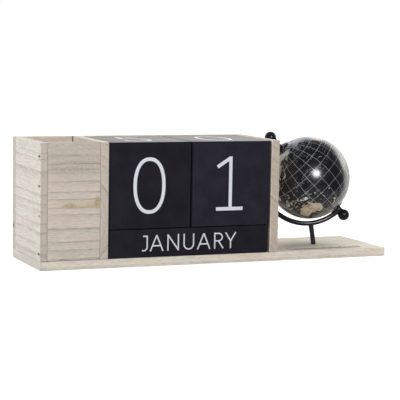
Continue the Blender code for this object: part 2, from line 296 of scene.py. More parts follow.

# %% [markdown]
# Each board is cut from another part of a log, so each gets its own material. The grain
# runs along X in the base, the pen box's front and the back panel, and from front to back
# in the three upright walls. For these a Mapping node turns the place by a quarter turn.
#
# Most boards count their years evenly and let a noise widen and narrow them. The left
# wall and the pen box's front face the camera, so there each year ends at a measured
# height, through a curve that runs straight from one ring to the next.
#
# The cut ends drink up more dust and light and look darker, which a mask close to the two
# end planes gives. Then come the marks of use. The pen box's front is stained yellowish in
# places and has three dark smears, rust has crept from the brads into the left wall, the
# back panel has a small knot on its left end, and dust lies on the top edges. Three marks
# are painted shade instead: a shadow line where the left wall meets the back panel, a
# shadow in the pen box's inner corner, and brownish shade on the divider's face inside the
# pen box. Each mark is an ellipsoid in the wood's space, in which the wood takes another
# colour.


# %% Board materials
def grain_place(recipe, along_y, log):
    """Object place, turned so that X runs along the grain and the log is the axis."""
    turn = (0, 0, -pi / 2 if along_y else 0)
    middle = Matrix.Rotation(turn[2], 3, "Z") @ Vector(log)
    inputs = {"Vector": object_place(recipe), "Rotation": turn, "Location": -middle}
    return recipe.node("ShaderNodeMapping", inputs).outputs[0]


def log_radius(recipe, place):
    """The distance to the log's middle, a little uneven as a trunk is."""
    flat = recipe.vector("MULTIPLY", place, (0.0, 1.0, 1.0))
    calm = recipe.vector("MULTIPLY", place, (4.0, 18.0, 18.0))
    sway = recipe.sum("SUBTRACT", recipe.noise(calm, 1.0, 2.0), 0.5)
    return recipe.sum("MULTIPLY_ADD", sway, 0.004, recipe.vector("LENGTH", flat))


def even_years(recipe, radius, width, start):
    """Years of one width, which a slow noise makes wider and narrower."""
    years = recipe.sum("ADD", recipe.sum("DIVIDE", radius, width), start)
    inputs = {"W": years, "Scale": 0.9}
    slow = recipe.node("ShaderNodeTexNoise", inputs, noise_dimensions="1D")
    return recipe.sum("MULTIPLY_ADD", slow.outputs[0], 1.7, years)


def measured_years(recipe, radius, rings):
    """Years that end at the given radii, in metres from the log's middle."""
    beyond = 0.02
    low, high = rings[0] - beyond, rings[-1] + beyond
    inputs = {"Value": radius, "From Min": low, "From Max": high}
    share = recipe.node("ShaderNodeMapRange", inputs).outputs[0]
    count = len(rings) + 1
    pairs = [((ring - low) / (high - low), (i + 1) / count) for i, ring in enumerate(rings)]
    share = recipe.curve(share, [(0.0, 0.0)] + pairs + [(1.0, 1.0)])
    return recipe.sum("MULTIPLY", share, count)


def spot(recipe, place, centre, size):
    """1 at the centre, falling to 0 at an ellipsoid's surface."""
    offset = recipe.vector("SUBTRACT", place, centre)
    offset = recipe.vector("DIVIDE", offset, size)
    return recipe.step(recipe.vector("LENGTH", offset), 1.0, 0.25)


def board_material(name, along_y, log, rings, strength, tone, stains_and_painted_shade):
    """Wood for one board. Two numbers for rings are a width and a start."""
    material, r, shader = new_material(name + "_wood", Specular_IOR_Level=0.3)
    low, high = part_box(name)
    axis = 1 if along_y else 0
    place = grain_place(r, along_y, log)
    radius = log_radius(r, place)
    if len(rings) == 2:
        years = even_years(r, radius, *rings)
    else:
        years = measured_years(r, radius, [height - log[2] for height in rings])
    own = object_place(r)
    middle = (low[axis] + high[axis]) / 2
    from_middle = r.sum("ABSOLUTE", r.sum("SUBTRACT", r.split(own)[axis], middle))
    half = (high[axis] - low[axis]) / 2
    end = r.step(from_middle, half - 0.00015, half - 0.00005)
    inputs = {
        "Place": place,
        "Years": years,
        "Line strength": strength,
        "End grain": end,
        "Tone": rgb(*tone),
    }
    wood = r.node("ShaderNodeGroup", inputs, node_tree=wood_group).outputs
    colour = wood["Colour"]
    for centre, size, tint, amount in stains_and_painted_shade:
        share = spot(r, own, centre, size)
        if amount < 1.0:
            lumps = r.step(r.noise(own, 420.0, 3.0), 0.3, 0.6)
            share = r.sum("MULTIPLY", share, r.sum("MULTIPLY_ADD", lumps, 0.55, 0.45))
            share = r.sum("MULTIPLY", share, amount)
        colour = r.mix(share, colour, tint)
    finish_shader(r, shader, colour, wood["Roughness"], wood["Height"], 0.00012)
    return material


left_rings = (0.0165, 0.0251, 0.0366, 0.0448, 0.0568)
left_rings += (0.0634, 0.0724, 0.0943, 0.1055, 0.1108)
front_rings = (0.0113, 0.0198, 0.0274, 0.0397, 0.0529, 0.0591)
front_rings += (0.0675, 0.0746, 0.0845, 0.0929, 0.1009, 0.1083)

# A mark is a centre, the ellipsoid's half sizes, a tint and an amount.
left_end, front_side, top_edge = -0.184, -0.0475, 0.1202
stain_tint, smear_tint = rgb(0.43, 0.30, 0.14), rgb(0.34, 0.28, 0.24)
iron_tint, knot_tint = rgb(0.04, 0.03, 0.022), rgb(0.07, 0.05, 0.035)
dust_tint = rgb(0.47, 0.46, 0.45)
front_marks = (
    ((-0.1470, front_side, 0.0620), (0.036, 0.004, 0.0058), rgb(0.6, 0.51, 0.36), 0.6),
    ((-0.1385, front_side, 0.0594), (0.024, 0.004, 0.0012), stain_tint, 0.5),
    ((-0.1550, front_side, 0.0604), (0.0098, 0.004, 0.0030), stain_tint, 0.85),
    ((-0.1330, front_side, 0.0615), (0.0090, 0.004, 0.0050), rgb(0.55, 0.42, 0.27), 0.6),
    ((-0.1279, front_side, 0.0635), (0.0048, 0.004, 0.0075), stain_tint, 0.8),
    ((-0.1510, front_side, 0.1150), (0.09, 0.01, 0.05), rgb(0.42, 0.35, 0.3), 0.42),
    ((-0.1530, front_side, 0.0948), (0.045, 0.004, 0.0026), smear_tint, 0.6),
    ((-0.1460, front_side, 0.1010), (0.036, 0.004, 0.0019), smear_tint, 0.5),
    ((-0.1580, front_side, 0.1085), (0.030, 0.004, 0.0013), smear_tint, 0.4),
)
wall_marks = []
for index, tall, amount in ((1, 0.0016, 1.0), (2, 0.0016, 0.4), (3, 0.0016, 1.0), (4, 0.0019, 1.0)):
    low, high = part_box(f"left_wall_brad_{index}")
    middle = (low + high) / 2
    place = (left_end, middle.y, middle.z)
    wall_marks.append((place, (0.003, 0.0048, tall), iron_tint, amount))
# A painted shadow line down the left wall's back edge, where the back panel meets it.
wall_marks.append(((left_end, 0.0387, 0.064), (0.003, 0.0016, 0.3), rgb(0.2, 0.18, 0.15), 1.0))
back_marks = (
    ((left_end, 0.0433, 0.064), (0.0012, 0.03, 0.3), rgb(0.45, 0.44, 0.42), 0.75),
    ((-0.02, 0.0433, top_edge), (0.15, 0.05, 0.0009), dust_tint, 0.6),
    ((left_end, 0.044, 0.032), (0.0025, 0.0032, 0.0028), knot_tint, 1.0),
    # A painted shadow in the pen box's inner corner, where the divider meets the back panel.
    ((-0.1250, 0.039, 0.112), (0.0012, 0.002, 0.03), rgb(0.14, 0.09, 0.06), 1.0),
)
right_marks = (((0.057, 0.0, top_edge), (0.05, 0.1, 0.0009), dust_tint, 0.45),)
# Painted shade: the divider's face inside the pen box is tinted a shaded brown.
divider_painted_shade = (((-0.1248, 0.0, 0.1), (0.001, 0.1, 0.1), rgb(0.5, 0.44, 0.36), 0.35),)
base_marks = (
    ((left_end, 0.0, 0.004), (0.004, 0.2, 0.05), rgb(0.55, 0.56, 0.58), 0.5),
    ((-0.15, front_side, 0.004), (0.07, 0.004, 0.03), rgb(0.5, 0.46, 0.42), 0.18),
)

# A board is its grain's way, the log's middle, rings, line strength, tone and marks.
along_x, along_y = False, True
base_tone, left_tone, divider_tone = (1.27, 1.275, 1.25), (1.04, 1.065, 1.115), (1.1, 1.1, 1.13)
right_tone, front_tone, back_tone = (1.035, 0.995, 0.97), (1.01, 0.99, 0.968), (1.25, 1.22, 1.18)
front_log, back_log, base_log = (0.0, front_side, -0.33), (0.0, 0.01, -0.25), (0.0, 0.06, -0.16)
left_log, divider_log, right_log = (-0.1805, 0.0, -0.32), (-0.158, 0.0, 0.046), (-0.06, 0.0, -0.09)
board_recipes = {
    "base_board": (along_x, base_log, (0.0085, 0.3), 0.3, base_tone, base_marks),
    "left_end_wall": (along_y, left_log, left_rings, 0.5, left_tone, wall_marks),
    "divider_wall": (along_y, divider_log, (0.0105, 0.4), 0.6, divider_tone, divider_painted_shade),
    "right_end_wall": (along_y, right_log, (0.006, 0.2), 0.45, right_tone, right_marks),
    "pen_box_front": (along_x, front_log, front_rings, 0.68, front_tone, front_marks),
    "back_panel": (along_x, back_log, (0.0125, 0.1), 0.6, back_tone, back_marks),
}


def finish_solid(name, material):
    """Gives a solid that keeps its shape a finish."""
    solid = frame["nodes"][name]
    if solid.material_slots:
        solid.material_slots[0].material = material
    else:
        solid.data.materials.append(material)


for board, recipe in board_recipes.items():
    finish_solid(board, board_material(board, *recipe))
print("boards finished:", ", ".join(board_recipes))

# %% [markdown]
# ## Pieces made in code
#
# A few helpers make every mesh that isn't grown from a path. One turns a profile about an
# axis, as a lathe does, and closes the ends that lie on the axis. The others join shapes,
# turn all faces outward, smooth what is round, and put the mesh in the scene as a piece
# that moves with one body, in place of the solids that it stands for.


# %% Mesh helpers
def shape_of(points, faces):
    """Points and faces as a shape that can still be worked on."""
    draft = bpy.data.meshes.new("draft")
    draft.from_pydata(points, [], faces)
    shape = bmesh.new()
    shape.from_mesh(draft)
    bpy.data.meshes.remove(draft)
    return shape


def finish_mesh(name, shape, material, sharp=radians(40)):
    """A shape as a mesh of one finish, smooth but for edges over the sharp angle."""
    bmesh.ops.recalc_face_normals(shape, faces=shape.faces)
    for face in shape.faces:
        face.material_index = 0
    mesh = bpy.data.meshes.new(name)
    shape.to_mesh(mesh)
    shape.free()
    mesh.materials.append(material)
    if sharp is not None:
        mesh.shade_smooth()
        mesh.set_sharp_from_angle(angle=sharp)
    return mesh


def put_object(name, data):
    thing = bpy.data.objects.new(name, data)
    scene.collection.objects.link(thing)
    return thing


def put_piece(name, mesh, body, slot, *nodes):
    """A mesh as a piece that rides on a body and stands for some solids."""
    piece = put_object(name, mesh)
    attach(piece, body)
    if nodes:
        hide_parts(*nodes)
    return piece


def lathe(profile, sides, start=Vector(), direction=Vector((0, 0, 1))):
    """Points and faces of a profile of (radius, height) turned about a direction."""
    turn = direction.to_track_quat("Z", "Y")
    points, rings, faces = [], [], []
    for radius, height in profile:
        if radius < 1e-7:
            rings.append([len(points)] * sides)
            points.append(start + turn @ Vector((0, 0, height)))
            continue
        rings.append([len(points) + side for side in range(sides)])
        for side in range(sides):
            angle = 2 * pi * side / sides
            spoke = Vector((radius * cos(angle), radius * sin(angle), height))
            points.append(start + turn @ spoke)
    pairs = list(zip(rings, rings[1:]))
    if profile[0][0] > 1e-7:
        pairs.append((rings[-1], rings[0]))
    for low, high in pairs:
        for near in range(sides):
            far = (near + 1) % sides
            face = list(dict.fromkeys([low[near], low[far], high[far], high[near]]))
            if len(face) > 2:
                faces.append(face)
    return points, faces


def together(shapes):
    """Several (points, faces) as one."""
    points, faces = [], []
    for more_points, more_faces in shapes:
        faces += [[corner + len(points) for corner in face] for face in more_faces]
        points += more_points
    return points, faces


def arc(radius, start, end, steps, centre=0.0):
    """Points (radius, height) on an arc between two latitudes."""
    angles = [start + (end - start) * step / steps for step in range(steps + 1)]
    return [(radius * cos(angle), centre + radius * sin(angle)) for angle in angles]


# %% [markdown]
# ## Black paint on the blocks
#
# The cubes and bars are wood under a thin matt black paint with a hint of violet. It has a
# fine brushed texture, a little dust and a few worn spots along the edges. Along every edge
# the black is painted deeper as painted shade, so that the thin gaps between the blocks
# read as dark lines. The edges are found from the place alone: near an edge, two of the
# three distances from the block's middle come close to half its size.


# %% Block paint
def edge_mask(recipe, place, middle, half, width):
    """1 along the edges of a box, falling to 0 within a width."""
    offset = recipe.vector("SUBTRACT", place, middle)
    offset = recipe.vector("ABSOLUTE", offset)
    near = recipe.vector("SUBTRACT", offset, half)
    total = None
    for axis in range(3):
        close = recipe.step(recipe.split(near)[axis], -width, 0.0)
        total = close if total is None else recipe.sum("ADD", total, close)
    return recipe.step(total, 1.02, 1.75)


def block_paint(name, grain_axis, tone):
    low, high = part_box(name)
    material, r, shader = new_material(name + "_paint", Specular_IOR_Level=0.15)
    own = object_place(r)
    stretch = tuple(60.0 if axis == grain_axis else 300.0 for axis in range(3))
    brush = r.noise(r.vector("MULTIPLY", own, stretch), 1.0, 3.0, 0.6)
    dust = r.step(r.noise(own, 900.0, 2.0, 0.6), 0.62, 0.8)
    cloud = r.step(r.noise(own, 42.0, 4.0, 0.6), 0.3, 0.7)
    black = r.mix(cloud, rgb(0.0155, 0.0138, 0.0208), rgb(0.0215, 0.0193, 0.0278))
    grit = r.step(r.noise(own, 620.0, 2.0), 0.35, 0.65)
    grey = rgb(0.04, 0.038, 0.045)
    black = r.mix(r.sum("MULTIPLY", grit, 0.06), black, grey)
    black = r.mix(r.sum("MULTIPLY", dust, 0.10), black, rgb(0.1, 0.1, 0.11))
    black = r.mix(r.sum("MULTIPLY", brush, 0.04), black, grey)
    edges = edge_mask(r, own, (low + high) / 2, (high - low) / 2, 0.0009)
    patchy = r.step(r.noise(own, 210.0, 3.0), 0.3, 0.75)
    wear = r.sum("MULTIPLY", edges, r.sum("MULTIPLY", patchy, 0.06))
    # Painted shade: the black goes deeper within a millimetre of every edge.
    black = r.mix(r.sum("MULTIPLY", edges, 0.8), black, rgb(0.002, 0.002, 0.003))
    black = r.mix(wear, black, rgb(0.14, 0.135, 0.15))
    scale = r.node("ShaderNodeCombineColor", {0: tone, 1: tone, 2: tone}).outputs[0]
    black = r.mix(1.0, black, scale, "MULTIPLY")
    rough = r.sum("MULTIPLY_ADD", brush, 0.04, 0.24)
    height = r.sum("MULTIPLY_ADD", dust, 0.4, brush)
    finish_shader(r, shader, black, rough, height, 0.00001)
    return material


# %% [markdown]
# The solids of the blocks are plain boxes with two-step edges. The real ones were sawn from
# square stock and their edges eased with sandpaper. So each block is built again at the
# same place with a rounder edge of four steps, which catches the light softly.


# %% The blocks
def make_block(name, body, new_name, material, radius=0.0006):
    low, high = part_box(name)
    shape = bmesh.new()
    bmesh.ops.create_cube(shape, size=1)
    for vert in shape.verts:
        share = vert.co + Vector((0.5, 0.5, 0.5))
        vert.co = [low[i] + (high[i] - low[i]) * share[i] for i in range(3)]
    easing = {"offset": radius, "segments": 4, "profile": 0.5, "affect": "EDGES"}
    bmesh.ops.bevel(shape, geom=shape.edges[:], **easing)
    mesh = finish_mesh(new_name, shape, material, radians(50))
    return put_piece(new_name, mesh, body, "black_paint", name)


blocks = {
    "day_cube_tens": ("tens_cube", "painted_tens_cube", 2, 1.06),
    "day_cube_units": ("units_cube", "painted_units_cube", 2, 1.36),
    "month_bar_front": ("front_bar", "painted_front_bar", 0, 1.08),
    "month_bar_middle": ("middle_bar", "painted_middle_bar", 0, 1.0),
    "month_bar_rear": ("rear_bar", "painted_rear_bar", 0, 1.0),
}
for solid_name, (body, new_name, grain_axis, tone) in blocks.items():
    paint = block_paint(solid_name, grain_axis, tone)
    make_block(solid_name, body, new_name, paint)
print("blocks painted:", ", ".join(row[1] for row in blocks.values()))

# %% [markdown]
# ## Numerals and month names
#
# The white print is one even stroke wide, with square ends, so each sign is drawn as paths
# and not as outlines. A path is a few points, and `bow` bends one round an ellipse. The
# signs stand in a box one unit high. The two cubes show every day between them: one has 0
# to 5, and the other 0, 1, 2, 6, 7 and 8, where the 6 turned over is the 9.


# %% Signs as paths
def squared(share, power):
    return (-1 if share < 0 else 1) * abs(share) ** (2 / power)


def bow(x, y, wide, tall, start, end, steps=28, power=2.0):
    """Points on an ellipse. A power over two squares it up a little."""
    points = []
    for step in range(steps + 1):
        angle = radians(start + (end - start) * step / steps)
        across, up = squared(cos(angle), power), squared(sin(angle), power)
        points.append((x + wide * across, y + tall * up))
    return points


numerals = {
    "0": [bow(0.293, 0.498, 0.29, 0.502, 0, 360, 64, 2.25)],
    "1": [
        [(0.03, 0.014), (0.592, 0.014)],
        [(0.326, 0.014), (0.326, 1.028)],
        [(0.05, 0.828), (0.318, 0.998)],
    ],
    "2": [bow(0.27, 0.72, 0.25, 0.28, 160, -28) + [(0.0, 0.0)], [(-0.02, 0.0), (0.55, 0.0)]],
    "3": [
        bow(0.24, 0.755, 0.25, 0.245, 145, -90),
        bow(0.24, 0.255, 0.29, 0.255, 90, -150),
    ],
    "4": [
        [(0.41, 1.02), (0.0, 0.28)],
        [(-0.02, 0.28), (0.58, 0.28)],
        [(0.42, -0.03), (0.42, 1.03)],
    ],
    "5": [
        [(0.06, 1.0), (0.5, 1.0)],
        [(0.08, 1.02), (0.05, 0.545)],
        bow(0.21, 0.305, 0.3, 0.305, 122, -148),
    ],
    "6": [
        bow(0.28, 0.3, 0.27, 0.3, 0, 360, 48),
        bow(0.56, 0.3, 0.55, 0.72, 108, 182),
    ],
    "7": [[(0.0, 1.0), (0.56, 1.0)], [(0.545, 1.0), (0.16, -0.03)]],
    "8": [
        bow(0.28, 0.755, 0.225, 0.245, 0, 360, 44),
        bow(0.28, 0.265, 0.28, 0.265, 0, 360, 44),
    ],
}
stem = [(0.0, -0.06), (0.0, 1.06)]
half_bar = [(0.0, 0.5), (0.46, 0.5)]
letters = {
    "A": (
        [
            [(0.0, -0.06), (0.46, 1.04)],
            [(0.92, -0.06), (0.46, 1.04)],
            [(0.15, 0.31), (0.77, 0.31)],
        ],
        0.92,
    ),
    "B": (
        [
            stem,
            [(0.0, 1.0)] + bow(0.27, 0.76, 0.27, 0.24, 90, -90) + [(0.0, 0.52)],
            [(0.28, 0.52)] + bow(0.3, 0.26, 0.3, 0.26, 90, -90) + [(0.0, 0.0)],
        ],
        0.6,
    ),
    "C": ([bow(0.48, 0.5, 0.48, 0.5, 48, 312)], 0.8),
    "D": ([stem, [(0.0, 1.0)] + bow(0.28, 0.5, 0.5, 0.5, 90, -90) + [(0.0, 0.0)]], 0.78),
    "E": ([stem, [(0.0, 1.0), (0.5, 1.0)], half_bar, [(0.0, 0.0), (0.52, 0.0)]], 0.52),
    "F": ([stem, [(0.0, 1.0), (0.5, 1.0)], half_bar], 0.5),
    "G": (
        [
            bow(0.48, 0.5, 0.48, 0.5, 48, 352),
            [(0.54, 0.45), (0.98, 0.45)],
            [(0.93, 0.45), (0.93, 0.12)],
        ],
        0.94,
    ),
    "H": ([stem, [(0.74, -0.06), (0.74, 1.06)], [(0.0, 0.5), (0.74, 0.5)]], 0.74),
    "I": ([stem], 0.0),
    "J": (
        [
            [(0.02, 0.985), (0.36, 0.985)],
            [(0.32, 1.02)] + bow(0.08, 0.24, 0.24, 0.24, 0, -95) + [(-0.04, 0.02)],
        ],
        0.32,
    ),
    "L": ([stem, [(0.0, 0.0), (0.5, 0.0)]], 0.5),
    "M": (
        [
            stem,
            [(0.0, 1.03), (0.45, 0.08)],
            [(0.9, 1.03), (0.45, 0.08)],
            [(0.9, -0.06), (0.9, 1.06)],
        ],
        0.9,
    ),
    "N": ([stem, [(0.0, 1.02), (0.76, -0.02)], [(0.76, -0.06), (0.76, 1.06)]], 0.76),
    "O": ([bow(0.5, 0.5, 0.5, 0.5, 0, 360, 48)], 1.0),
    "P": ([stem, [(0.0, 1.0)] + bow(0.27, 0.73, 0.29, 0.27, 90, -90) + [(0.0, 0.46)]], 0.56),
    "R": (
        [
            stem,
            [(0.0, 1.0)] + bow(0.27, 0.74, 0.29, 0.26, 90, -90) + [(0.0, 0.48)],
            [(0.27, 0.48), (0.64, -0.05)],
        ],
        0.62,
    ),
    "S": (
        [
            bow(0.29, 0.745, 0.25, 0.255, 42, 262) + bow(0.26, 0.245, 0.27, 0.245, 82, -142)
        ],
        0.54,
    ),
    "T": ([[(0.0, 1.0), (0.74, 1.0)], [(0.37, -0.06), (0.37, 1.0)]], 0.74),
    "U": ([[(0.0, 1.06)] + bow(0.35, 0.36, 0.35, 0.36, 180, 360) + [(0.7, 1.06)]], 0.7),
    "V": ([[(0.0, 1.06), (0.42, -0.04)], [(0.84, 1.06), (0.42, -0.04)]], 0.84),
    "Y": (
        [
            [(0.0, 1.05), (0.38, 0.45)],
            [(0.76, 1.05), (0.38, 0.45)],
            [(0.38, 0.47), (0.38, -0.06)],
        ],
        0.76,
    ),
}
print(len(numerals), "numerals and", len(letters), "letters")

# %% [markdown]
# A Geometry Nodes tree turns the paths into print. It carries a flat rectangle along each
# path, so stroke and film thickness are two numbers, and it ends in Realize Instances and
# Set Material like every tree here. Each stroke of a sign lies a few thousandths of a
# millimetre over the last one, so that crossing strokes never share a surface.


# %% Growing pieces with Geometry Nodes
def new_tree(name, inputs):
    """A Geometry Nodes tree with named inputs and a material, and its recipe."""
    inputs = [("Geometry", "Geometry"), *inputs, ("Material", "Material")]
    return new_group(name, "GeometryNodeTree", inputs, [("Geometry", "Geometry")])


def end_tree(recipe, geometry, material):
    made = recipe.node("GeometryNodeRealizeInstances", {0: geometry}).outputs[0]
    inputs = {"Geometry": made, "Material": material}
    made = recipe.node("GeometryNodeSetMaterial", inputs).outputs[0]
    recipe.node("NodeGroupOutput", {0: made})


def grow(name, source, tree, **settings):
    """Runs a tree on some data and keeps the result as a plain mesh."""
    seedling = put_object(name + "_seed", source)
    modifier = seedling.modifiers.new("grow", "NODES")
    modifier.node_group = tree
    for item in tree.interface.items_tree:
        label = item.name.replace(" ", "_")
        if item.in_out == "INPUT" and label in settings:
            modifier[item.identifier] = settings[label]
    bpy.context.view_layer.update()
    graph = bpy.context.evaluated_depsgraph_get()
    mesh = bpy.data.meshes.new_from_object(seedling.evaluated_get(graph))
    mesh.name = name
    bpy.data.objects.remove(seedling, do_unlink=True)
    return mesh


def make_print_tree():
    inputs = [("Stroke width", "Float", 0.004), ("Film thickness", "Float", 0.00006)]
    tree, r, given = new_tree("painted_strokes", inputs)
    inputs = {"Width": given["Stroke width"], "Height": given["Film thickness"]}
    brush = r.node("GeometryNodeCurvePrimitiveQuadrilateral", inputs).outputs[0]
    inputs = {"Curve": given["Geometry"], "Profile Curve": brush, "Fill Caps": True}
    strokes = r.node("GeometryNodeCurveToMesh", inputs).outputs[0]
    flat = r.node("GeometryNodeSetShadeSmooth", {"Geometry": strokes, "Shade Smooth": False})
    end_tree(r, flat.outputs[0], given["Material"])
    return tree


def paths_to_curve(name, paths, lift=0.000004):
    """Flat paths as one curve object's data, each a little over the one before."""
    curve = bpy.data.curves.new(name, "CURVE")
    curve.dimensions = "3D"
    for index, path in enumerate(paths):
        closed = (Vector(path[0]) - Vector(path[-1])).length < 1e-6
        points = path[:-1] if closed else path
        spline = curve.splines.new("POLY")
        spline.points.add(len(points) - 1)
        for point, (x, y) in zip(spline.points, points):
            point.co = (x, y, lift * (index % 12), 1)
        spline.use_cyclic_u = closed
    return curve


print_tree = make_print_tree()
print("print tree:", [item.name for item in print_tree.interface.items_tree])


# %% White print
def make_print_material():
    material, r, shader = new_material("white_screen_print", Specular_IOR_Level=0.3)
    own = object_place(r)
    grain = r.noise(own, 1500.0, 2.0, 0.6)
    thin = r.step(r.noise(own, 260.0, 3.0), 0.68, 0.8)
    white = r.mix(grain, rgb(0.74, 0.76, 0.82), rgb(0.82, 0.84, 0.9))
    white = r.mix(r.sum("MULTIPLY", thin, 0.25), white, rgb(0.5, 0.5, 0.56))
    rough = r.sum("MULTIPLY_ADD", grain, 0.2, 0.45)
    finish_shader(r, shader, white, rough, grain, 0.00002)
    return material


white_print = make_print_material()


def place_signs(paths, width, height, stroke):
    """Scales unit paths so that their strokes fill a height, centred on the origin."""
    scale = height - stroke
    moved = []
    for path in paths:
        moved.append([((x - width / 2) * scale, (y - 0.5) * scale) for x, y in path])
    return moved


left_space = {"A": 0.09, "J": 0.05, "S": 0.13, "T": 0.1, "V": 0.08, "Y": 0.1}
left_space.update(dict.fromkeys("COG", 0.15))
right_space = {"A": 0.15, "B": 0.13, "C": 0.1, "D": 0.15, "E": 0.1, "F": 0.06, "J": 0.14}
right_space.update({"L": 0.05, "O": 0.15, "P": 0.06, "R": 0.09, "S": 0.13, "T": 0.1})
right_space.update({"V": 0.08, "Y": 0.1})
usual_space = 0.21


def lay_out(word):
    """The paths of a word in unit letters, each with its own space, and its width."""
    paths, pen = [], 0.0
    for letter in word:
        strokes, width = letters[letter]
        pen += left_space.get(letter, usual_space)
        paths += [[(x + pen, y) for x, y in stroke] for stroke in strokes]
        pen += width + right_space.get(letter, usual_space)
    return paths, pen


def face_matrix(centre, right, up, out):
    """Puts flat work on a face: its X goes right, its Y up and its Z out."""
    turn = Matrix((right, up, out)).transposed().to_4x4()
    return Matrix.Translation(centre) @ turn


def print_faces(name, body, jobs, stroke):
    """Prints several (paths, matrix) as one piece."""
    shape = bmesh.new()
    settings = {"Stroke_width": stroke, "Film_thickness": 0.00008}
    for paths, matrix in jobs:
        curve = paths_to_curve(name, paths)
        mesh = grow(name, curve, print_tree, Material=white_print, **settings)
        mesh.transform(matrix)
        shape.from_mesh(mesh)
        bpy.data.meshes.remove(mesh)
        bpy.data.curves.remove(curve)
    mesh = finish_mesh(name, shape, white_print, sharp=None)
    return put_piece(name, mesh, body, None)


digit_height, digit_stroke = 0.054, 0.00345
X, Y, Z = Vector((1, 0, 0)), Vector((0, 1, 0)), Vector((0, 0, 1))
cube_faces = ((X, Z, -Y), (Y, Z, X), (-X, Z, Y), (-Y, Z, -X), (X, Y, Z), (X, -Y, -Z))
cube_signs = {
    "day_cube_tens": ("tens_cube", "tens_numerals", "014253", -0.0016),
    "day_cube_units": ("units_cube", "units_numerals", "126708", -0.0031),
}
for solid_name, (body, name, signs, shift) in cube_signs.items():
    low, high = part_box(solid_name)
    centre, half = (low + high) / 2, (high.x - low.x) / 2
    jobs = []
    for sign, (right, up, out) in zip(signs, cube_faces):
        paths = place_signs(numerals[sign], 0.57, digit_height, digit_stroke)
        where = centre + out * half + right * shift
        jobs.append((paths, face_matrix(where, right, up, out)))
    print_faces(name, body, jobs, digit_stroke)

month_height, month_stroke = 0.0155, 0.0013
bar_faces = ((X, Z, -Y), (X, Y, Z), (X, -Z, Y), (X, -Y, -Z))
bar_months = {
    "month_bar_front": ("front_bar", "JANUARY FEBRUARY MARCH APRIL"),
    "month_bar_middle": ("middle_bar", "MAY JUNE JULY AUGUST"),
    "month_bar_rear": ("rear_bar", "SEPTEMBER OCTOBER NOVEMBER DECEMBER"),
}
for solid_name, (body, words) in bar_months.items():
    low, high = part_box(solid_name)
    centre, half = (low + high) / 2, (high.z - low.z) / 2
    jobs = []
    for word, (right, up, out) in zip(words.split(), bar_faces):
        paths, width = lay_out(word)
        paths = place_signs(paths, width, month_height, month_stroke)
        where = centre + out * half - up * 0.0002 + right * 0.0004
        jobs.append((paths, face_matrix(where, right, up, out)))
    print_faces(body + "_months", body, jobs, month_stroke)
print("printed:", ", ".join(row[1] for row in cube_signs.values()), "and 12 months")

# %% [markdown]
# ## The globe's map
#
# The ball is a glossy black globe with thin pale lines every fifteen degrees. Its north
# end leans to the upper left. The map frame is worked out from the joint that the ball
# turns on: north along the joint, and the ball's longitude chosen so that the same
# countries face the camera.

# %% The map frame
spin = next(joint for joint in frame["joints"] if joint["name"] == "globe_spin")
ball_centre = Vector(spin["pos_m"])
north = Vector(spin["axis"]).normalized()
ball_radius = 0.0425
front_longitude = radians(182.6)
toward = (-Y - north * north.dot(-Y)).normalized()
aside = north.cross(toward)
prime = toward * cos(front_longitude) - aside * sin(front_longitude)
east = toward * sin(front_longitude) + aside * cos(front_longitude)
map_turn = Matrix((prime, east, north))
print("north", [round(value, 3) for value in north])


def direction_at(longitude, latitude):
    """The direction from the ball's centre to a place, given in degrees."""
    lon, lat = radians(longitude), radians(latitude)
    flat = prime * (cos(lat) * cos(lon)) + east * (cos(lat) * sin(lon))
    return flat + north * sin(lat)


# %% [markdown]
# The lines are worked out in the material. From the place on the ball it finds latitude
# and longitude, the distance to the nearest whole step in metres, and draws a line where
# that is small. Lines drawn like this stay thin and sharp from any distance, and the same
# group serves the sea and the land.


# %% Map lines
map_step = radians(15)


def make_map_group():
    outputs = [("Lines", "Float"), ("Latitude", "Float"), ("Longitude", "Float")]
    tree, r, given = new_group("map_lines", "ShaderNodeTree", [("Place", "Vector")], outputs)
    inputs = {
        "Vector": given["Place"],
        "Rotation": map_turn.to_euler(),
        "Location": -(map_turn @ ball_centre),
    }
    place = r.node("ShaderNodeMapping", inputs).outputs[0]
    x, y, z = r.split(place)
    length = r.vector("LENGTH", place)
    latitude = r.sum("ARCSINE", r.sum("DIVIDE", z, length))
    longitude = r.sum("ARCTAN2", y, x)
    lines = 0.0
    for angle, shrink in ((latitude, 1.0), (longitude, r.sum("COSINE", latitude))):
        turns = r.sum("DIVIDE", angle, map_step)
        turns = r.sum("FRACT", r.sum("ADD", turns, 24.5))
        away = r.sum("ABSOLUTE", r.sum("SUBTRACT", turns, 0.5))
        away = r.sum("MULTIPLY", away, map_step * ball_radius)
        away = r.sum("MULTIPLY", away, shrink)
        lines = r.sum("MAXIMUM", lines, r.step(away, 0.00014, 0.00008))
    poles = r.step(r.sum("ABSOLUTE", latitude), radians(84), radians(82))
    lines = r.sum("MULTIPLY", lines, poles)
    outputs = {"Lines": lines, "Latitude": latitude, "Longitude": longitude}
    r.node("NodeGroupOutput", outputs)
    return tree


map_group = make_map_group()


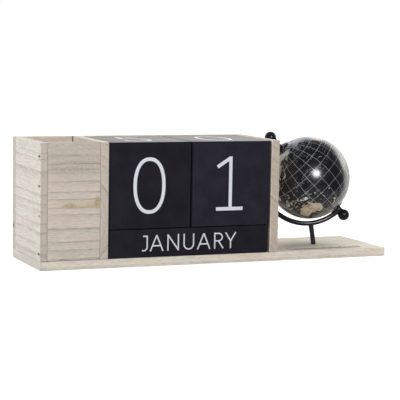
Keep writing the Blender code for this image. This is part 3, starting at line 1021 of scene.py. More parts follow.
def chart_ticks(r, lines, own):
    """Rows of tiny broken ticks in a few patches, like the soundings on a sea chart."""
    rows = r.sum("MULTIPLY", lines["Latitude"], degrees(1) / 2.1)
    along = r.sum("MULTIPLY", lines["Longitude"], degrees(1))
    row = r.sum("FLOOR", rows)
    away = r.sum("ABSOLUTE", r.sum("SUBTRACT", r.sum("FRACT", rows), 0.5))
    inside = r.step(away, 0.2, 0.12)
    shift = r.sum("MULTIPLY", row, 7.3)
    near, far = (
        r.node("ShaderNodeCombineXYZ", {0: r.sum("MULTIPLY", along, pace), 1: shift}).outputs[0]
        for pace in (1.3, 0.09)
    )
    ticks = r.step(r.noise(near, 1.0, 1.0), 0.5, 0.58)
    group = r.step(r.noise(far, 1.0, 0.0), 0.54, 0.58)
    region = r.step(r.noise(own, 34.0, 1.0), 0.44, 0.52)
    inside = r.sum("MULTIPLY", inside, ticks)
    return r.sum("MULTIPLY", inside, r.sum("MULTIPLY", group, region))


def map_material(name):
    """A varnished print: its material, recipe and shader, its place and the map lines."""
    varnish = {"Coat_Weight": 1.0, "Coat_Roughness": 0.2, "Coat_IOR": 1.52}
    material, r, shader = new_material(name, Specular_IOR_Level=0.1, **varnish)
    own = object_place(r)
    lines = r.node("ShaderNodeGroup", {"Place": own}, node_tree=map_group).outputs
    return material, r, shader, own, lines


def sea_material():
    """Black with a faint blue drift and slate shoals, and a little broken pale lines."""
    material, r, shader, own, lines = map_material("black_map_sea")
    drift = r.noise(own, 46.0, 3.0)
    deep = r.mix(drift, rgb(0.0036, 0.0042, 0.0066), rgb(0.0095, 0.0101, 0.0145))
    shoal = r.step(r.noise(own, 70.0, 4.0, 0.6), 0.6, 0.78)
    deep = r.mix(r.sum("MULTIPLY", shoal, 0.35), deep, rgb(0.022, 0.034, 0.05))
    worn = r.step(r.noise(own, 520.0, 2.0), 0.2, 0.5)
    amount = r.sum("MULTIPLY", lines["Lines"], r.sum("MULTIPLY_ADD", worn, 0.35, 0.5))
    amount = r.sum("MAXIMUM", amount, r.sum("MULTIPLY", chart_ticks(r, lines, own), 0.58))
    colour = r.mix(amount, deep, rgb(0.66, 0.67, 0.69))
    finish_shader(r, shader, colour, r.sum("MULTIPLY_ADD", drift, 0.2, 0.4))
    return material


def land_material():
    """Ivory, with sand, tundra and forest where the climate is dry, cold or wet."""
    material, r, shader, own, lines = map_material("pale_map_land")
    broad = r.noise(own, 60.0, 4.0, 0.6)
    fine = r.noise(own, 260.0, 4.0, 0.65)
    known = r.node("ShaderNodeAttribute", attribute_name="climate").outputs["Color"]
    dry, cold, wet = r.node("ShaderNodeSeparateColor", {0: known}).outputs
    patchy = r.step(broad, 0.38, 0.62)
    ivory = r.mix(patchy, rgb(0.46, 0.48, 0.42), rgb(0.68, 0.68, 0.60))
    sand = r.mix(patchy, rgb(0.57, 0.41, 0.28), rgb(0.62, 0.52, 0.40))
    sand = r.mix(r.sum("MULTIPLY", r.step(fine, 0.48, 0.62), 0.8), sand, rgb(0.46, 0.25, 0.12))
    tundra = r.mix(patchy, rgb(0.04, 0.05, 0.075), rgb(0.2, 0.215, 0.27))
    colour = r.mix(dry, ivory, sand)
    colour = r.mix(cold, colour, tundra)
    speckle = r.step(r.noise(own, 420.0, 3.0, 0.6), 0.44, 0.56)
    jungle = r.mix(speckle, rgb(0.06, 0.085, 0.075), rgb(0.62, 0.66, 0.6))
    colour = r.mix(wet, colour, jungle)
    shady = r.sum("MULTIPLY", r.step(fine, 0.47, 0.33), r.sum("SUBTRACT", 1.0, dry))
    colour = r.mix(r.sum("MULTIPLY", shady, 0.6), colour, rgb(0.05, 0.065, 0.06))
    amount = r.sum("MULTIPLY", lines["Lines"], 0.35)
    colour = r.mix(amount, colour, rgb(0.25, 0.2, 0.14))
    finish_shader(r, shader, colour, r.sum("MULTIPLY_ADD", fine, 0.2, 0.4))
    return material


sea = sea_material()
land = land_material()
print("map lines every 15 degrees,", len(map_group.nodes), "nodes")

# %% [markdown]
# The ball is turned on the lathe as two halves in one profile: a hairline groove marks
# where they meet, and a bore lets the axle through.


# %% The ball
bore = 0.0018


def make_ball():
    pole = acos(bore / ball_radius)
    groove = 0.00006
    seam = groove / ball_radius
    profile = arc(ball_radius, -pole, -seam, 56)
    profile += [(ball_radius - groove, 0.0)]
    profile += arc(ball_radius, seam, pole, 56)
    shape = shape_of(*lathe(profile, 168, ball_centre, north))
    mesh = finish_mesh("globe_ball_shell", shape, sea, radians(20))
    solids = ("globe_north_shell", "globe_south_shell")
    return put_piece(mesh.name, mesh, "globe_ball", "globe_print", *solids)


ball = make_ball()
print("ball", len(ball.data.polygons), "faces")

# %% [markdown]
# The land is cut from outlines of a few dozen listed corners, given as longitude and
# latitude. Between the corners a seeded noise adds bays and headlands. Each outline is
# spread flat about its own middle, filled with triangles, and wrapped back on the ball as
# a thin plate that stands a twentieth of a millimetre proud, so that the coasts are real
# edges and the land can't flicker with the sea.

# %% Outlines of the land
outlines = {
    "eurasia": (
        "-9 43,-9 37,-6 36,-2 37,0 39,3 42,5 43,9 44,11 42,15 40,16 38,18 40,13 44,"
        "14 45,19 42,20 39,23 36,24 38,23 40,26 40,27 37,31 36,36 36,35 33,34 31,35 28,"
        "39 21,43 13,45 13,52 16,56 18,59 22,56 26,51 25,50 29,48 30,52 28,57 27,62 25,"
        "67 24,70 21,73 20,74 15,77 8,80 13,80 16,85 19,88 22,91 22,94 18,95 16,98 16,"
        "99 11,98 8,103 1,104 2,102 7,100 9,100 13,103 11,105 9,107 11,109 13,106 19,"
        "110 21,114 22,117 24,121 28,122 31,119 35,122 37,118 39,122 41,125 39,126 34,"
        "129 36,128 39,132 43,137 46,141 52,137 54,143 59,152 59,156 61,164 62,160 59,"
        "156 57,157 51,162 56,163 59,170 60,178 62,180 65,186 64,190 66,180 69,170 70,"
        "160 70,150 72,140 72,130 71,128 73,113 74,108 77,100 76,88 75,80 73,72 73,"
        "68 68,60 69,54 68,44 68,42 66,35 64,40 67,32 70,25 71,15 68,10 64,5 61,7 58,"
        "11 59,13 56,16 57,19 60,17 62,22 66,25 65,22 62,23 60,30 60,23 59,21 55,14 54,"
        "10 55,8 57,8 54,4 52,2 51,-2 49,-5 48,-1 46,-2 43"
    ),
    "africa": (
        "-6 36,0 36,10 37,11 34,19 30,20 32,25 32,32 31,34 28,37 22,39 16,43 11,51 12,"
        "48 5,42 -1,39 -6,41 -15,36 -18,35 -24,32 -28,27 -34,20 -35,18 -32,14 -23,12 -17,"
        "13 -9,9 -1,9 4,4 6,-4 5,-8 4,-13 9,-17 14,-17 21,-13 28,-10 31"
    ),
    "madagascar": "44 -16,50 -13,50 -16,47 -25,44 -24,43 -21",
    "australia": (
        "114 -22,117 -21,122 -18,126 -14,129 -15,131 -12,136 -12,136 -15,140 -18,"
        "142 -11,144 -14,146 -19,150 -22,153 -26,153 -31,150 -37,147 -38,144 -39,140 -38,"
        "138 -33,135 -35,131 -31,124 -33,119 -34,115 -34,116 -31,113 -25"
    ),
    "tasmania": "145 -41,148 -41,147 -43.5",
    "north_america": (
        "-168 66,-162 67,-157 71,-145 70,-135 69,-125 70,-115 69,-105 68,-95 68,-94 72,"
        "-88 70,-82 69,-86 66,-94 61,-93 58,-85 55,-80 52,-79 55,-77 58,-78 62,-72 62,"
        "-65 59,-60 55,-56 52,-66 50,-65 46,-70 43,-74 40,-76 36,-81 32,-80 26,-82 28,"
        "-84 30,-90 29,-97 28,-97 22,-94 18,-90 21,-87 21,-88 16,-83 15,-83 10,-78 9,"
        "-80 7,-86 11,-92 14,-97 16,-105 20,-109 26,-114 31,-111 25,-110 23,-115 29,"
        "-120 34,-124 40,-124 47,-130 54,-140 60,-150 60,-155 58,-163 55,-158 59,"
        "-166 61,-161 64"
    ),
    "greenland": (
        "-45 60,-51 64,-54 69,-60 76,-70 78,-60 82,-35 83,-20 81,-20 75,-25 70,-35 66,-42 62"
    ),
    "baffin": "-64 63,-72 67,-80 73,-88 73,-84 70,-73 65,-78 64,-68 61",
    "ellesmere": "-78 76,-90 77,-95 80,-85 82,-65 82,-75 79",
    "victoria": "-117 70,-105 69,-105 73,-118 73",
    "south_america": (
        "-77 8,-72 12,-62 10,-52 5,-50 0,-40 -3,-35 -7,-39 -15,-41 -22,-48 -27,-54 -34,"
        "-58 -38,-65 -42,-67 -48,-69 -52,-66 -55,-72 -53,-75 -47,-73 -38,-71 -30,-70 -19,"
        "-76 -14,-81 -5,-80 1"
    ),
    "antarctica": (
        "-60 -64,-65 -68,-62 -74,-75 -73,-100 -73,-125 -74,-150 -77,-165 -79,170 -78,"
        "165 -73,170 -71,145 -67,120 -66,95 -66,75 -69,55 -66,35 -69,10 -70,-10 -71,"
        "-25 -75,-45 -79,-60 -75,-58 -66"
    ),
    "britain": "-5 50,1 51,0 53,-2 57,-5 58.5,-6 56,-3 54,-5 52",
    "ireland": "-10 52,-6 52.5,-6 55,-9 54.5",
    "iceland": "-22 64,-14 65,-16 66.5,-23 66",
    "japan": "130 31,132 34,136 33.5,140 35,142 39,141 41,139 37.5,135 35.5,131 34.5",
    "hokkaido": "140 42,145 43.5,142 45.5",
    "sakhalin": "142 46,144 49,143 54,142 53",
    "taiwan": "120 22,122 25,121 25",
    "luzon": "120 15,121 18.5,122 18,122 15,124 13",
    "mindanao": "122 7,124 9,126 9,126 6",
    "borneo": "109 1,110 -3,114 -4,117 -2,119 5,117 7,113 3",
    "sumatra": "95 5.5,98 4,103 -1,106 -3,105.5 -6,102 -4,98 0",
    "java": "105 -6.5,110 -6.5,115 -8,114 -9,108 -8",
    "sulawesi": "119 -5,121 -3,124 1,120 1",
    "timor": "119 -9,125 -8,127 -8.5,123 -10",
    "new_guinea": (
        "131 -1,134 -1,136 -3,141 -2.6,145 -4.5,148 -6,147 -7,150 -10.5,147 -9.5,"
        "143 -8,139 -8,138 -6,133 -4"
    ),
    "new_britain": "148 -6,150 -6.3,152 -4,152.5 -5,150 -6.5",
    "north_island": "173 -35,178 -38,175.5 -41.5,174 -39",
    "south_island": "173 -41,174 -42,171 -44.5,168 -47,167 -45.5",
    "ceylon": "80 9,81.8 7,80.5 6",
    "cuba": "-84 22,-80 23,-75 20.5,-78 20.5",
    "hispaniola": "-74 19.5,-69 19,-71 18,-74 18.3",
    "newfoundland": "-59 48,-56 51,-53 47",
    "svalbard": "12 78,20 80,24 79,17 77",
    "novaya_zemlya": "52 71,57 75,68 77,60 73,56 71",
}
islets = (
    "-156 20,-158 21.5,178 -18,159 -8,160 -9.3,167 -15.5,165.5 -21.4,-91 -0.5,-16 28.3,"
    "55.5 -21,57.6 -20,150 46,153 48,128 26.5,124 24.5,126 11,124 11,"
    "123 10,120 12,128 -3,131 -6,127 1,154 -6,125 1.5,129.5 -3.2,126 -3.5,122.5 -4.8,"
    "131 -7.8,124.5 -8.5,134.5 -6,125 12,118.5 9.5,121 11.5,133 -1,144.8 13.5,134.5 7.4,"
    "-61 15,-61.5 12,-52 -52,-38 -54"
)
dry_places = ((134, -25, 22), (8, 22, 26), (26, 22, 24), (46, 24, 18), (62, 34, 16))
dry_places += ((95, 41, 20), (-108, 35, 9), (-68, -35, 16), (22, -24, 14), (116, 1, 7))
wet_places = ((142, -6, 14), (110, 0, 6), (122, 11, 14), (120, -3, 8), (104, 0, 10))
cold_places = ((-152, 64, 13), (-115, 64, 26), (-80, 60, 26), (-45, 72, 8))
print(len(outlines), "outlines and", islets.count(",") + 1, "islets")


# %% Land on the ball
noise.seed_set(7)


def corners_of(text):
    return [tuple(map(float, pair.split())) for pair in text.split(",")]


def coast(corners, step, rough):
    """Adds corners between the given ones and moves them by a fixed noise."""
    spots = [direction_at(*corner) for corner in corners]
    line = []
    for start, end in zip(spots, spots[1:] + spots[:1]):
        count = max(1, round(degrees(start.angle(end)) / step))
        for index in range(count):
            point = start.lerp(end, index / count).normalized()
            shake = noise.noise_vector(map_turn @ point * 26.0) * radians(rough)
            shake += noise.noise_vector(map_turn @ point * 70.0) * radians(rough * 0.5)
            line.append((point + map_turn.transposed() @ shake).normalized())
    return line


def plate_on_ball(line, spacing=radians(3.2), rise=0.00005, depth=0.00012):
    """Fills a closed line of directions and wraps it on the ball as a thin plate."""
    middle = sum(line, Vector()).normalized()
    across = middle.orthogonal().normalized()
    up = middle.cross(across)

    def spread(point):
        angle = middle.angle(point, 0.0)
        flat = Vector((point.dot(across), point.dot(up)))
        return flat.normalized() * angle if flat.length > 1e-9 else flat

    def wrap(flat, radius):
        angle = flat.length
        if angle < 1e-9:
            return ball_centre + middle * radius
        way = (across * flat.x + up * flat.y) / angle
        return ball_centre + (middle * cos(angle) + way * sin(angle)) * radius

    rim = [spread(point) for point in line]
    reach = max(point.length for point in rim)
    count = int(reach / spacing) + 1
    inner = []
    for i in range(-count, count + 1):
        for j in range(-count, count + 1):
            inner.append(Vector(((i + (j % 2) / 2) * spacing, j * spacing * 0.87)))
    edges = [(index, (index + 1) % len(rim)) for index in range(len(rim))]
    face = [list(range(len(rim)))]
    flat, _, faces, *_ = delaunay_2d_cdt(rim + inner, edges, face, 1, 1e-6)
    top = [wrap(point, ball_radius + rise) for point in flat]
    under = [wrap(point, ball_radius - depth) for point in flat]
    count = len(top)
    sides = {}
    for corners in faces:
        for side in zip(corners, corners[1:] + corners[:1]):
            sides[side] = True
    walls = [[a, b, b + count, a + count] for a, b in sides if (b, a) not in sides]
    lower = [[corner + count for corner in reversed(corners)] for corners in faces]
    return top + under, [list(corners) for corners in faces] + lower + walls


def closeness(point, places):
    """1 at the middle of the nearest place, 0 past its reach, in degrees."""
    best = 0.0
    for longitude, latitude, reach in places:
        away = degrees(point.angle(direction_at(longitude, latitude)))
        best = max(best, min(1.0, 2.2 * (1 - away / reach)))
    return best


def make_land():
    plates = []
    for corners in outlines.values():
        corners = corners_of(corners)
        step, rough = (1.0, 0.45) if len(corners) < 9 else (1.4, 0.9)
        plates.append(plate_on_ball(coast(corners, step, rough)))
    for index, (longitude, latitude) in enumerate(corners_of(islets)):
        size = 0.5 + 0.14 * (index % 4)
        ring = []
        for turn in range(9):
            angle = radians(turn * 40 + index * 13)
            wobble = size * (1 + 0.3 * sin(3 * angle + index))
            stretch = wobble / cos(radians(latitude))
            ring.append((longitude + stretch * cos(angle), latitude + wobble * sin(angle)))
        plates.append(plate_on_ball([direction_at(*corner) for corner in ring]))
    shape = shape_of(*together(plates))
    loose = [vert for vert in shape.verts if not vert.link_faces]
    bmesh.ops.delete(shape, geom=loose, context="VERTS")
    mesh = finish_mesh("map_land", shape, land)
    climate = mesh.color_attributes.new("climate", "FLOAT_COLOR", "POINT")
    for vert, value in zip(mesh.vertices, climate.data):
        way = (vert.co - ball_centre).normalized()
        shares = [closeness(way, places) for places in (dry_places, cold_places, wet_places)]
        value.color = (*shares, 1.0)
    return put_piece("map_land", mesh, "globe_ball", "globe_print")


land_piece = make_land()
print("land", len(land_piece.data.polygons), "faces")

# %% [markdown]
# ## Hubs, knobs, axle and yoke
#
# The metalwork is black enamel over steel, smooth and a little wavy. One recipe gives
# three kinds of it: satin on the hubs and the yoke, glossy on the knobs that fingers
# polish, and on the post one whose black is made lighter as a painted sheen. The axle, the
# washer and the screw are bare dark steel, and the brads' heads have rusted. Turned parts
# come off the lathe helper with more steps than the solids have.


# %% Enamel and steel
def enamel_material(name, coat, smoothness, wear=1.0):
    material, r, shader = new_material(
        name, Coat_Weight=coat, Coat_Roughness=smoothness, Specular_IOR_Level=0.0
    )
    own = object_place(r)
    peel = r.noise(own, 700.0, 2.0)
    rubbed = r.step(r.noise(own, 190.0, 4.0, 0.6), 0.62, 0.78)
    rubbed = r.sum("MULTIPLY", rubbed, 0.35)
    # A wear over one lifts the black; on the post that lift is a painted sheen.
    dark = rgb(0.017 * wear, 0.016 * wear, 0.020 * wear)
    black = r.mix(rubbed, dark, rgb(0.06, 0.054, 0.055))
    rough = r.sum("MULTIPLY_ADD", rubbed, 0.2, r.sum("MULTIPLY_ADD", peel, 0.1, 0.3))
    finish_shader(r, shader, black, rough, peel, 0.00002)
    return material


def steel_material():
    material, r, shader = new_material("dark_nail_steel", Metallic=1.0)
    own = object_place(r)
    mottle = r.noise(own, 1300.0, 3.0)
    steel = r.mix(mottle, rgb(0.05, 0.045, 0.042), rgb(0.15, 0.13, 0.115))
    finish_shader(r, shader, steel, r.sum("MULTIPLY_ADD", mottle, 0.3, 0.3))
    return material


def rusty_material():
    material, r, shader = new_material("rusty_brad_heads", Specular_IOR_Level=0.2)
    own = object_place(r)
    scale = r.step(r.noise(own, 1500.0, 3.0), 0.4, 0.65)
    rust = r.mix(scale, rgb(0.012, 0.010, 0.009), rgb(0.06, 0.035, 0.022))
    rough = r.sum("MULTIPLY_ADD", scale, 0.3, 0.5)
    finish_shader(r, shader, rust, rough, scale, 0.00003)
    return material


brad_rust = rusty_material()
enamel = enamel_material("satin_black_enamel", 0.6, 0.17)
gloss = enamel_material("glossy_black_enamel", 0.5, 0.06)
# Painted sheen: the post's black is about twice as light as the yoke's.
post_enamel = enamel_material("rubbed_post_enamel", 0.5, 0.24, wear=2.1)
nail_steel = steel_material()


# %% Turned metal parts
def turned_piece(name, profile, direction, body, slot, material, *nodes):
    shape = shape_of(*lathe(profile, 64, ball_centre, direction))
    return put_piece(name, finish_mesh(name, shape, material), body, slot, *nodes)


def height_on_axis(node, direction):
    """The lowest and highest height of a solid along an axis from the ball's centre."""
    heights = [(v.co - ball_centre).dot(direction) for v in frame["nodes"][node].data.vertices]
    return min(heights), max(heights)


seat = ball_radius + 0.0003
hub_top = height_on_axis("globe_north_hub", north)[1]


def hub_profile(rim_radius, shoulder, top):
    """A cap that fits the ball below and rounds off to a flat top."""
    rim = acos(rim_radius / seat)
    height = seat * sin(rim)
    profile = arc(seat, acos(bore / seat), rim, 12)
    profile += [(rim_radius, height + 0.0004)]
    for turn in range(1, 7):
        angle = radians(15 * turn)
        inset = (rim_radius - shoulder) * (1 - cos(angle))
        profile.append((rim_radius - inset, height + 0.0004 + 0.0009 * sin(angle)))
    return profile + [(top, hub_top - 0.0001), (top - 0.0003, hub_top), (bore, hub_top)]


for end, direction, profile in (
    ("north", north, hub_profile(0.009, 0.0082, 0.0058)),
    ("south", -north, hub_profile(0.0082, 0.0072, 0.005)),
):
    finish = ("globe_ball", "black_enamel", enamel)
    turned_piece(end + "_hub_cap", profile, direction, *finish, "globe_" + end + "_hub")


def knob_profile(low, high, radius=0.0059, neck=0.0042):
    centre = high - 0.0061
    waist = asin(sqrt(radius**2 - neck**2) / radius)
    profile = [(0, centre), (bore, centre), (bore, low), (neck - 0.0002, low)]
    profile += [(neck, low + 0.0002)]
    profile += arc(radius, -waist, pi / 2, 28, centre)[:-1]
    return profile + [(0, centre + radius)]


for end, direction in (("upper", north), ("lower", -north)):
    low, high = height_on_axis(end + "_knob", direction)
    finish = ("root", "black_enamel", gloss)
    turned_piece(end + "_ball_knob", knob_profile(low, high), direction, *finish, end + "_knob")

low, high = height_on_axis("upper_collar", north)
collar_radius, ease, axle_radius = 0.0028, 0.0002, 0.0015
profile = [(bore, low), (collar_radius - ease, low), (collar_radius, low + ease)]
profile += [(collar_radius, high - ease), (collar_radius - ease, high), (bore, high)]
turned_piece("spacing_collar", profile, north, "root", "black_enamel", enamel, "upper_collar")
low, high = height_on_axis("globe_axle", north)
profile = [(0, low), (axle_radius, low), (axle_radius, high), (0, high)]
turned_piece("steel_axle", profile, north, "root", "dark_steel", nail_steel, "globe_axle")
print("turned: 2 hub caps, 2 knobs, 1 collar, 1 axle")

# %% [markdown]
# The yoke is a half ring of round wire with an eye at each end. Its shape follows a rule,
# so a Geometry Nodes tree makes it: a circle is carried along the half ring, and the wire
# swells a little where it runs into an eye, as the weld there does.


# %% The yoke
def make_wire_tree():
    tree, r, given = new_tree(
        "welded_wire",
        (
            ("Wire radius", "Float", 0.002),
            ("Sides", "Int", 24),
            ("End swell", "Float", 0.3),
            ("Swell share", "Float", 0.08),
        ),
    )
    share = r.node("GeometryNodeSplineParameter").outputs["Factor"]
    edge = r.sum("MINIMUM", share, r.sum("SUBTRACT", 1.0, share))
    near = r.sum("DIVIDE", edge, given["Swell share"])
    near = r.sum("SUBTRACT", 1.0, r.sum("MINIMUM", near, 1.0))
    near = r.sum("MULTIPLY", near, near)
    radius = r.sum("MULTIPLY_ADD", near, given["End swell"], 1.0)
    inputs = {"Curve": given["Geometry"], "Radius": radius}
    wire = r.node("GeometryNodeSetCurveRadius", inputs).outputs[0]
    inputs = {"Resolution": given["Sides"], "Radius": given["Wire radius"]}
    ring = r.node("GeometryNodeCurvePrimitiveCircle", inputs).outputs[0]
    scale = r.node("GeometryNodeInputRadius").outputs[0]
    inputs = {"Curve": wire, "Profile Curve": ring, "Scale": scale, "Fill Caps": True}
    sweep = r.node("GeometryNodeCurveToMesh", inputs).outputs[0]
    smooth = r.node("GeometryNodeSetShadeSmooth", {"Geometry": sweep}).outputs[0]
    end_tree(r, smooth, given["Material"])
    return tree


# The yoke's centre lies halfway between the knobs, a little off the ball's centre.
below, above = height_on_axis("lower_knob", -north)[0], height_on_axis("upper_knob", north)[0]
yoke_centre = ball_centre + north * (-(below - above) / 2)
yoke_radius = 0.049
eye_height, eye_radius = 0.005, 0.0034
side = Vector((north.x, north.y, 0)).normalized()
across = side * -north.z + Z * sqrt(north.x**2 + north.y**2)
print("yoke centre", [round(value * 1000, 2) for value in yoke_centre], "mm")


def space_curve(name, points):
    curve = bpy.data.curves.new(name, "CURVE")
    curve.dimensions = "3D"
    spline = curve.splines.new("POLY")
    spline.points.add(len(points) - 1)
    for place, point in zip(spline.points, points):
        place.co = (*point, 1)
    return curve


inset = asin(0.0022 / yoke_radius)
wire_points = []
for step in range(97):
    angle = inset + (pi - 2 * inset) * step / 96
    wire_points.append(yoke_centre + (north * cos(angle) - across * sin(angle)) * yoke_radius)
settings = {"Wire_radius": 0.0025, "Sides": 28, "End_swell": 0.22, "Swell_share": 0.06}
yoke_path = space_curve("yoke_path", wire_points)
wire_mesh = grow("yoke_wire", yoke_path, make_wire_tree(), Material=enamel, **settings)
eyes = []
for direction in (north, -north):
    low, high = yoke_radius - eye_height / 2, yoke_radius + eye_height / 2
    ease, corner = 0.0005, 0.00015
    profile = [(bore, low), (eye_radius - ease, low), (eye_radius - corner, low + corner)]
    profile += [(eye_radius, low + ease), (eye_radius, high - ease)]
    profile += [(eye_radius - corner, high - corner), (eye_radius - ease, high), (bore, high)]
    eyes.append(lathe(profile, 48, yoke_centre, direction))
shape = shape_of(*together(eyes))
shape.from_mesh(wire_mesh)
yoke_mesh = finish_mesh("wire_yoke", shape, enamel)
yoke = put_piece("wire_yoke", yoke_mesh, "root", "black_enamel", "yoke_ring")
print("yoke", len(yoke_mesh.polygons), "faces")

# %% [markdown]
# The post under the yoke leans a little. Its top is turned to a flare that runs into the
# ring, as the fillet of a weld does. It goes through the board, and a screw with a washer
# holds it from below. These two are hidden in a hole of the board, so they keep their
# solid shapes and get a steel finish.

# %% Post, screw and washer
post_lean = radians(9)
board_top = 0.0085
foot = Vector((ball_centre.x, ball_centre.y, board_top)) - side * 0.007
post_up = Z * cos(post_lean) + side * sin(post_lean)
offset = yoke_centre - foot
ahead = offset.dot(post_up)
aside_gap = (offset - post_up * ahead).length
post_top = ahead - sqrt(yoke_radius**2 - aside_gap**2)
post_low = min((v.co - foot).dot(post_up) for v in frame["nodes"]["yoke_post"].data.vertices)
post_radius, flare, foot_radius, shoulder = 0.0025, 0.0014, 0.00195, 0.0006
flare_low, flare_tall = post_top - 0.0052, 0.0045
profile = [(0, post_low), (foot_radius, post_low), (foot_radius, shoulder)]
profile += [(post_radius, shoulder), (post_radius, flare_low)]
for step in range(1, 11):
    share = step / 10
    profile.append((post_radius + flare * share**3, flare_low + flare_tall * share))
profile += [(0, post_top - 0.0007)]
post_mesh = finish_mesh("flared_post", shape_of(*lathe(profile, 48, foot, post_up)), post_enamel)
post = put_piece("flared_post", post_mesh, "root", "black_enamel", "yoke_post")
for node in ("post_washer", "post_screw"):
    finish_solid(node, nail_steel)
print("post", round((post_top - post_low) * 1000, 1), "mm long")

# %% [markdown]
# ## Brads
#
# Small round nails hold the boards together. There are many of the same kind, so one tree
# stands a copy at each place: the points carry the direction that the head faces, and a
# seeded random tilt keeps them from looking like a machine's work.


# %% Brads
def make_brad_tree():
    tree, r, given = new_tree(
        "driven_brads",
        (
            ("Head radius", "Float", 0.0011),
            ("Head height", "Float", 0.0007),
            ("Shank radius", "Float", 0.0007),
            ("Length", "Float", 0.0175),
            ("Tilt", "Float", 0.02),
            ("Seed", "Int", 4),
        ),
    )
    inputs = {"Vertices": 12, "Radius": given["Shank radius"], "Depth": given["Length"]}
    shank = r.node("GeometryNodeMeshCylinder", inputs).outputs["Mesh"]
    half = r.sum("MULTIPLY", given["Length"], -0.5)
    half = r.sum("SUBTRACT", half, 0.0004)
    drop = r.node("ShaderNodeCombineXYZ", {"Z": half}).outputs[0]
    inputs = {"Geometry": shank, "Translation": drop}
    shank = r.node("GeometryNodeTransform", inputs).outputs[0]
    inputs = {"Segments": 20, "Rings": 10, "Radius": given["Head radius"]}
    head = r.node("GeometryNodeMeshUVSphere", inputs).outputs["Mesh"]
    low = r.sum("MULTIPLY", given["Head height"], -0.5)
    low = r.node("ShaderNodeCombineXYZ", {"Z": low}).outputs[0]
    flat = r.sum("DIVIDE", given["Head height"], given["Head radius"])
    flat = r.sum("MULTIPLY", flat, 0.5)
    squash = r.node("ShaderNodeCombineXYZ", {"X": 1.0, "Y": 1.0, "Z": flat}).outputs[0]
    inputs = {"Geometry": head, "Translation": low, "Scale": squash}
    head = r.node("GeometryNodeTransform", inputs).outputs[0]
    both = r.node("GeometryNodeJoinGeometry")
    r.tree.links.new(shank, both.inputs[0])
    r.tree.links.new(head, both.inputs[0])
    vector = {"data_type": "FLOAT_VECTOR"}
    outward = r.node("GeometryNodeInputNamedAttribute", {"Name": "outward"}, **vector)
    inputs = {0: (-1, -1, -1), 1: (1, 1, 1), "Seed": given["Seed"]}
    spread = r.node("FunctionNodeRandomValue", inputs, **vector)
    inputs = {0: spread.outputs[0], "Scale": given["Tilt"]}
    tilt = r.node("ShaderNodeVectorMath", inputs, operation="SCALE")
    way = r.vector("ADD", outward.outputs[0], tilt.outputs[0])
    turn = r.node("FunctionNodeAlignRotationToVector", {"Vector": way}, axis="Z").outputs[0]
    inputs = {"Points": given["Geometry"], "Instance": both.outputs[0], "Rotation": turn}
    stood = r.node("GeometryNodeInstanceOnPoints", inputs).outputs[0]
    smooth = r.node("GeometryNodeSetShadeSmooth", {"Geometry": stood}).outputs[0]
    end_tree(r, smooth, given["Material"])
    return tree


outward_of = {"left_wall": -X, "divider": X, "back": Y, "base": -Z}
brad_nodes = sorted(name for name in frame["nodes"] if "_brad_" in name)
brad_places, brad_ways = [], []
for name in brad_nodes:
    way = next(way for start, way in outward_of.items() if name.startswith(start))
    low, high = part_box(name)
    middle, half = (low + high) / 2, (high - low) / 2
    reach = abs(half.x * way.x) + abs(half.y * way.y) + abs(half.z * way.z)
    brad_places.append(middle + way * (reach - 0.00004))
    brad_ways.append(way)
brad_points = bpy.data.meshes.new("brad_places")
brad_points.from_pydata(brad_places, [], [])
attribute = brad_points.attributes.new("outward", "FLOAT_VECTOR", "POINT")
for value, way in zip(attribute.data, brad_ways):
    value.vector = way
brad_mesh = grow("brads", brad_points, make_brad_tree(), Material=brad_rust, Seed=4)
put_piece("driven_brads", brad_mesh, "root", "brad_steel", *brad_nodes)
print(len(brad_nodes), "brads,", len(brad_mesh.polygons), "faces")

# %% [markdown]
# ## Glue lines
#
# The pen box's front is glued between the left wall and the divider. Dried glue fills the
# hair's breadth between them and lies a little back from the face, so the joints read as
# a soft change of tone and not as a black line.


# %% Glue lines
def make_glue_lines():
    material, r, shader = new_material("dried_pale_glue", Specular_IOR_Level=0.3)
    own = object_place(r)
    lumps = r.noise(own, 650.0, 3.0)
    glue = r.mix(lumps, rgb(0.40, 0.35, 0.29), rgb(0.56, 0.50, 0.43))
    rough = r.sum("MULTIPLY_ADD", lumps, 0.3, 0.4)
    finish_shader(r, shader, glue, rough, lumps, 0.00004)
    low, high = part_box("pen_box_front")
    left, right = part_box("left_end_wall")[1].x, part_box("divider_wall")[0].x
    shapes = []
    for start, end in ((left, low.x), (high.x, right)):
        start, end = start + 0.00001, end - 0.00001
        points, steps = [], 60
        for step in range(steps + 1):
            z = low.z + 0.0002 + (high.z - low.z - 0.0004) * step / steps
            face = low.y + 0.0001 + 0.00005 * sin(9.1 * step) * sin(2.3 * step)
            points += [Vector((start, face, z)), Vector((end, face, z))]
            points += [Vector((end, high.y, z)), Vector((start, high.y, z))]
        faces = [[0, 1, 2, 3], [4 * steps + 3, 4 * steps + 2, 4 * steps + 1, 4 * steps]]
        for step in range(steps):
            ring = 4 * step
            for corner in range(4):
                after = (corner + 1) % 4
                faces.append([ring + corner, ring + 4 + corner, ring + 4 + after, ring + after])
        shapes.append((points, faces))
    mesh = finish_mesh("pen_box_glue_lines", shape_of(*together(shapes)), material)
    return put_piece(mesh.name, mesh, "root", "pale_wood")


glue_lines = make_glue_lines()
print("glue lines", len(glue_lines.data.polygons), "faces")

# %% [markdown]
# ## The burnt ruler
#
# A row of small marks is burnt into the board in front of the globe. Here it is a plain
# ruler of eighty millimetres. A Geometry Nodes tree counts along a line, makes every fifth
# mark longer and every tenth the longest, and a seeded random number varies the lengths a
# little. The marks are a film one thirtieth of a millimetre thick.


